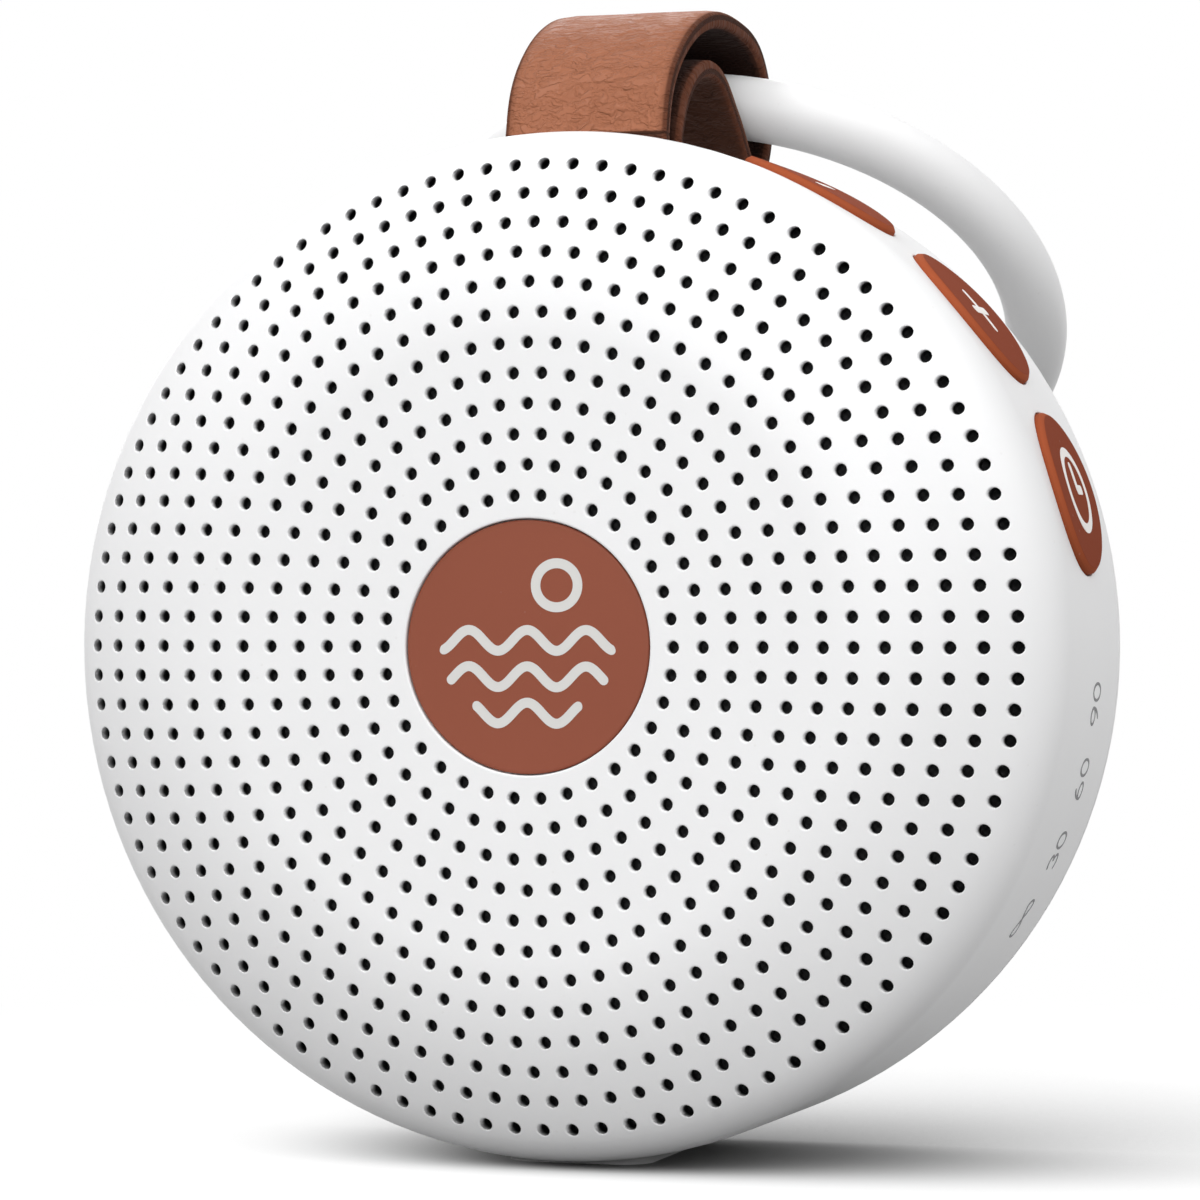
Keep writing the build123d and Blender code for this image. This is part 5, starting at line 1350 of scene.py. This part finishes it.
def strap_section(strap):
    """Once round the band's section: place across, height, share of cut edge, share of inside.

    It is a flat rectangle with round corners. Beside the cut edges each side is drawn in by a
    smooth step, 3 t squared less 2 t cubed.
    """
    half_width, half_thick, corner = strap.width / 2, strap.thickness / 2, strap.corner
    flat = np.linspace(-(half_width - corner), half_width - corner, FLAT_POINTS)
    turn = np.radians(np.linspace(90, -90, EDGE_POINTS + 2))[1:-1]
    end = half_width - corner + corner * np.cos(turn)
    side = np.sign(np.sin(turn)) * (half_thick - corner) + corner * np.sin(turn)
    across = np.concatenate([flat, end, flat[::-1], -end])
    height = np.concatenate([np.full(FLAT_POINTS, half_thick), side,
                             np.full(FLAT_POINTS, -half_thick), -side])
    edge = np.concatenate([np.zeros(FLAT_POINTS), np.ones(EDGE_POINTS)] * 2)
    half = FLAT_POINTS + EDGE_POINTS
    edge[[0, FLAT_POINTS - 1, half, half + FLAT_POINTS - 1]] = 0.35
    grain_end = EDGE_POINTS // 2
    flesh = np.concatenate([np.zeros(FLAT_POINTS + grain_end),
                            np.full(EDGE_POINTS - grain_end, 0.5), np.ones(FLAT_POINTS),
                            np.full(EDGE_POINTS, 0.5)])
    share = np.clip((np.abs(across) - (half_width - PRESSED_FROM)) / PRESSED_OVER, 0, 1)
    pressed = strap.pressed * share ** 2 * (3 - 2 * share)
    return across, height - np.sign(height) * np.minimum(pressed, np.abs(height)), edge, flesh


def strap_heights(strap, run, inward, across, height, edge):
    """Heights of the section at each place of the run.

    Inside the bends the leather is pushed into shallow creases, a product of two sines of the run
    whose depth grows with the bend. The whole band waves a little, as a slow sine of the run.
    Both lean across the band by a sum of two sines of the place across.
    """
    lean = 0.9 * np.sin(across / CREASE_ACROSS[0]) + 0.5 * np.sin(across / CREASE_ACROSS[1] + 1.0)
    ripple = np.sin(run / CREASE_ALONG[0] + lean) * np.sin(run / CREASE_ALONG[1] + 0.7 * lean)
    hollow = np.clip(inward * CREASED_RADIUS * MM, 0, 1)
    crease = np.sign(height) * (strap.crease * hollow * (ripple - 1) / 2) * (1 - edge)
    sag = SAG_DEPTH * np.sin(run / SAG_ALONG + 0.4 * lean) * (1 - edge)
    return height + crease + sag * (np.abs(height) > 0.6 * strap.thickness / 2)


def make_strap(strap):
    """Leather band: its section carried round the closed middle line.

    A point lies on the middle line, moved outwards by the section's height and sideways by its
    place across. Past the ring both sides are painted dark, as painted shade under the loop.
    """
    path, run = strap_path()
    outward, curve = strap_bend(path, run[1])
    across, height, edge, flesh = strap_section(strap)
    run = run[:, None]
    inward = np.where(height > 0, curve, -curve)
    thick = strap_heights(strap, run, inward, across, height, edge)
    depth = path[:, :1] + outward[:, :1] * thick
    points = in_part(across + 0 * depth, depth, path[:, 1:] + outward[:, 1:] * thick)
    side = np.where(height > 0, 0.0, SIDE_APART)
    skin = np.stack(np.broadcast_arrays(run, across, side), axis=-1)
    # painted shade: past the ring both sides of the band are painted dark
    past_ring = run - run[np.argmax(path[:, 0])]
    dark = np.clip((past_ring - SHADE_FROM) / SHADE_OVER, 0, 1) * SHADE_SHARE
    stretched = np.clip(-inward * STRETCHED_RADIUS * MM, 0, 1)

    def wrap(values):
        """The first section's values again at the end, for each section of the band."""
        values = np.broadcast_to(values, depth.shape + values.shape[2:])
        return np.concatenate([values, values[:1]])

    work = Patchwork()
    work.grid(wrap(points), skin=wrap(skin), edge=wrap(edge), flesh=wrap(np.maximum(flesh, dark)),
              bent=wrap(stretched))
    piece = work.finish("leather_strap", strap_leather(strap))
    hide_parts("strap_root", "strap_neck", "strap_loop")
    hinge_low, hinge_high = (in_part(0.0, depth * MM, BODY_RADIUS + above * MM)
                             for depth, above in (HINGE_START, HINGE_END))
    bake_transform(piece)


def make_ring(ring):
    """Round tube about a leaning circle.

    A point lies at the middle's reach plus the tube times a cosine of the small turn, round the
    wide turn, and at the tube times the sine of the small turn off the circle's plane. The plane
    then leans about X as far as the ring's box in the frame says.
    """
    work = Patchwork()
    tube = ring.tube / 2
    centre = (RING_LOW + RING_HIGH) / 2
    size = (RING_HIGH - RING_LOW) / 2
    lean = math.atan2(size[2] - tube, size[1] - tube)
    wide = np.linspace(0, FULL_TURN, RING_SECTIONS, endpoint=False)[:, None]
    small = np.linspace(0, FULL_TURN, RING_COLUMNS, endpoint=False)[None, :]
    out = size[0] - tube + tube * np.cos(small)
    flat_x = out * np.cos(wide)
    flat_y = out * np.sin(wide)
    flat_z = tube * np.sin(small) + 0 * wide
    points = np.stack([centre[0] + flat_x,
                       centre[1] + flat_y * math.cos(lean) + flat_z * math.sin(lean),
                       centre[2] - flat_y * math.sin(lean) + flat_z * math.cos(lean)], axis=-1)
    work.grid(np.concatenate([points, points[:1]]))
    piece = work.finish("hanging_ring", moulded("ring_white_plastic", ring.white, 0.38, 2600.0,
                                                0.06, Specular_IOR_Level=0.25), "ring")
    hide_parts("carry_ring")


# ------------------------------------------------------------------ pieces kept from the frame
def dress_nodes():
    """Gives each node of the frame its slot's finish; a finish is made once."""
    made = {}
    for part in frame["record"]["subparts"]:
        slot = part["material_slot"]
        if slot not in made:
            made[slot] = SLOT_FINISHES[slot]()
        materials = frame["nodes"][part["node"]].data.materials
        if not materials:
            materials.append(made[slot])
        for index in range(len(materials)):
            materials[index] = made[slot]


# ------------------------------------------------------------------ stage
WHITE = (1.0, 1.0, 1.0, 1.0)
LAMPS = (("top", (-0.45, -0.3, 0.85), 0.35), ("front", (0.05, -0.95, 0.4), 0.6),
         ("side", (0.85, -0.3, 0.85), 1.2), ("back", (-0.45, 0.95, 0.45), 0.6))
LAMPS_AIM = (0.0, 0.0, 0.05)
FLOOR_HALF = 3.0
NEAR_OBJECT = (0.06, 0.18)      # distances over which the floor turns to plain white
NEAR_SHARE = 0.7                # share of the glow on the floor's nearest part
NEAR_GLOW = 1.1                 # and its strength there
GLOW_LEAN = (-0.6, -0.5, 0.62)  # towards the lamps' side
GLOW_REACH = 0.12               # how far off the object can hold the glow back
GLOW_SAMPLES = 48
FLOOR_SEEN = (0.97, 0.97, 0.97, 1.0)
FLOOR_BOUNCE = (0.3, 0.3, 0.3, 1.0)     # darker for the light that the floor throws back
OPEN_SKY = (0.25, 0.9)          # the glow grows over these shares of open sky
HORIZON = -0.1                  # height of the sky's dim edge, where 1 is straight above
HORIZON_SHARE = 0.45            # its strength there


def make_floor():
    """Floor that takes the shadow and turns to plain white away from the object.

    Close to the object a seen point shows part of the light that falls on it and part of a glow,
    which the object holds back where it closes off the sky on the lamps' side.
    """
    work = Patchwork()
    ends = np.array([-FLOOR_HALF, FLOOR_HALF])
    corners = np.stack(np.broadcast_arrays(ends[None, :], ends[:, None], 0.0), axis=-1)
    work.grid(corners, closed=False)
    material = bpy.data.materials.new("floor_white")
    material.use_nodes = True
    graph = Graph(material.node_tree)
    place = graph.add("ShaderNodeTexCoord").outputs["Object"]
    away = graph.add("ShaderNodeVectorMath", {0: place}, operation="LENGTH").outputs["Value"]
    seen = graph.seen()
    share = graph.maths("MULTIPLY", seen, graph.span(away, *NEAR_OBJECT, NEAR_SHARE, 1.0))
    lean = graph.add("ShaderNodeCombineXYZ", dict(enumerate(GLOW_LEAN))).outputs[0]
    sky = graph.add("ShaderNodeAmbientOcclusion", {"Distance": GLOW_REACH, "Normal": lean},
                    samples=GLOW_SAMPLES)
    strength = graph.maths("MULTIPLY", graph.span(sky.outputs["AO"], *OPEN_SKY),
                           graph.span(away, *NEAR_OBJECT, NEAR_GLOW, 1.0))
    diffuse = graph.add("ShaderNodeBsdfDiffuse",
                        {"Color": graph.blend(seen, FLOOR_BOUNCE, FLOOR_SEEN)})
    glow = graph.add("ShaderNodeEmission", {"Color": WHITE, "Strength": strength})
    both = graph.add("ShaderNodeMixShader", {0: share, 1: diffuse.outputs[0],
                                             2: glow.outputs[0]})
    graph.add("ShaderNodeOutputMaterial", {"Surface": both.outputs[0]})
    work.finish("floor", material)


def make_world(ambient):
    """Even light that falls off towards the horizon, and plain white where the world is seen."""
    world = bpy.data.worlds.new("studio")
    bpy.context.scene.world = world
    world.use_nodes = True
    graph = Graph(world.node_tree)
    way = graph.add("ShaderNodeTexCoord").outputs["Generated"]
    up = graph.add("ShaderNodeSeparateXYZ", {0: way}).outputs[2]
    dome = graph.span(up, HORIZON, 1.0, HORIZON_SHARE * ambient, ambient)
    strength = graph.add("ShaderNodeMapRange", {0: graph.seen(), 3: dome, 4: 1.0}).outputs[0]
    sky = graph.add("ShaderNodeBackground", {"Color": WHITE, "Strength": strength})
    graph.add("ShaderNodeOutputWorld", {"Surface": sky.outputs[0]})


def point_at(item, place, target):
    """Stands a camera or lamp at a place and turns it to its target."""
    item.location = place
    item.rotation_euler = (Vector(target) - Vector(place)).to_track_quat("-Z", "Y").to_euler()


def make_lamp(name, place, width, watts):
    """Soft square lamp."""
    lamp = bpy.data.lights.new(name, "AREA")
    lamp.size = width
    lamp.energy = watts
    item = bpy.data.objects.new(name, lamp)
    bpy.context.scene.collection.objects.link(item)
    point_at(item, place, LAMPS_AIM)


def make_stage(stage):
    """Camera, floor, world and lamps."""
    scene = bpy.context.scene
    scene.view_settings.view_transform = "Standard"
    lens = bpy.data.cameras.new("camera")
    lens.lens = stage.lens
    camera = bpy.data.objects.new("camera", lens)
    scene.collection.objects.link(camera)
    point_at(camera, stage.camera, stage.target)
    scene.camera = camera
    make_floor()
    make_world(stage.ambient)
    for name, place, width in LAMPS:
        make_lamp(name, place, width, getattr(stage, name))


# ------------------------------------------------------------------ operators and panel
class SOUND_OT_stage(bpy.types.Operator):
    """Sets up the camera, the floor and the light"""
    bl_idname = "sound_machine.stage"
    bl_label = "Stage"

    def execute(self, context):
        make_stage(context.scene.sound_stage)
        return {"FINISHED"}


class SOUND_OT_front_shell(bpy.types.Operator):
    """Makes the perforated front cover with its rim"""
    bl_idname = "sound_machine.front_shell"
    bl_label = "Front cover"

    def execute(self, context):
        scene = context.scene
        make_front_shell(scene.sound_shell, scene.sound_buttons, scene.sound_strap,
                         scene.sound_emblem)
        return {"FINISHED"}


class SOUND_OT_back_shell(bpy.types.Operator):
    """Makes the back cover with its screw wells"""
    bl_idname = "sound_machine.back_shell"
    bl_label = "Back cover"

    def execute(self, context):
        make_back_shell(context.scene.sound_shell)
        return {"FINISHED"}


class SOUND_OT_emblem(bpy.types.Operator):
    """Makes the round plate and its print"""
    bl_idname = "sound_machine.emblem"
    bl_label = "Emblem plate"

    def execute(self, context):
        make_emblem(context.scene.sound_emblem)
        return {"FINISHED"}


class SOUND_OT_buttons(bpy.types.Operator):
    """Makes the four buttons and their signs"""
    bl_idname = "sound_machine.buttons"
    bl_label = "Buttons"

    def execute(self, context):
        make_buttons(context.scene.sound_buttons)
        return {"FINISHED"}


class SOUND_OT_marks(bpy.types.Operator):
    """Prints the timer marks on the rim"""
    bl_idname = "sound_machine.marks"
    bl_label = "Timer marks"

    def execute(self, context):
        make_marks(context.scene.sound_buttons)
        return {"FINISHED"}


class SOUND_OT_strap(bpy.types.Operator):
    """Makes the leather loop"""
    bl_idname = "sound_machine.strap"
    bl_label = "Leather strap"

    def execute(self, context):
        make_strap(context.scene.sound_strap)
        return {"FINISHED"}


class SOUND_OT_ring(bpy.types.Operator):
    """Makes the hanging ring"""
    bl_idname = "sound_machine.ring"
    bl_label = "Ring"

    def execute(self, context):
        make_ring(context.scene.sound_ring)
        return {"FINISHED"}


class SOUND_OT_finishes(bpy.types.Operator):
    """Gives the parts inside, the foot, the screws and the socket their finishes"""
    bl_idname = "sound_machine.finishes"
    bl_label = "Other finishes"

    def execute(self, context):
        dress_nodes()
        return {"FINISHED"}


OPERATORS = (SOUND_OT_stage, SOUND_OT_front_shell, SOUND_OT_back_shell, SOUND_OT_emblem,
             SOUND_OT_buttons, SOUND_OT_marks, SOUND_OT_strap, SOUND_OT_ring, SOUND_OT_finishes)
SIZES = {"sound_shell": ShellSizes, "sound_emblem": EmblemSizes, "sound_buttons": ButtonSizes,
         "sound_strap": StrapSizes, "sound_ring": RingSizes, "sound_stage": StageSizes}


class SOUND_PT_panel(bpy.types.Panel):
    """Lists the steps in the order in which they are made"""
    bl_idname = "SOUND_PT_panel"
    bl_label = "Sound machine"
    bl_space_type = "VIEW_3D"
    bl_region_type = "UI"
    bl_category = "Sound machine"

    def draw(self, context):
        for operator in OPERATORS:
            self.layout.operator(operator.bl_idname)


def register():
    for name, sizes in SIZES.items():
        bpy.utils.register_class(sizes)
        setattr(bpy.types.Scene, name, bpy.props.PointerProperty(type=sizes))
    for item in (*OPERATORS, SOUND_PT_panel):
        bpy.utils.register_class(item)


def unregister():
    for item in (SOUND_PT_panel, *reversed(OPERATORS)):
        bpy.utils.unregister_class(item)
    for name, sizes in reversed(SIZES.items()):
        delattr(bpy.types.Scene, name)
        bpy.utils.unregister_class(sizes)


def main():
    """Makes every piece in order."""
    register()
    for operator in OPERATORS:
        area, name = operator.bl_idname.split(".")
        getattr(getattr(bpy.ops, area), name)()


if __name__ == "__main__":
    main()
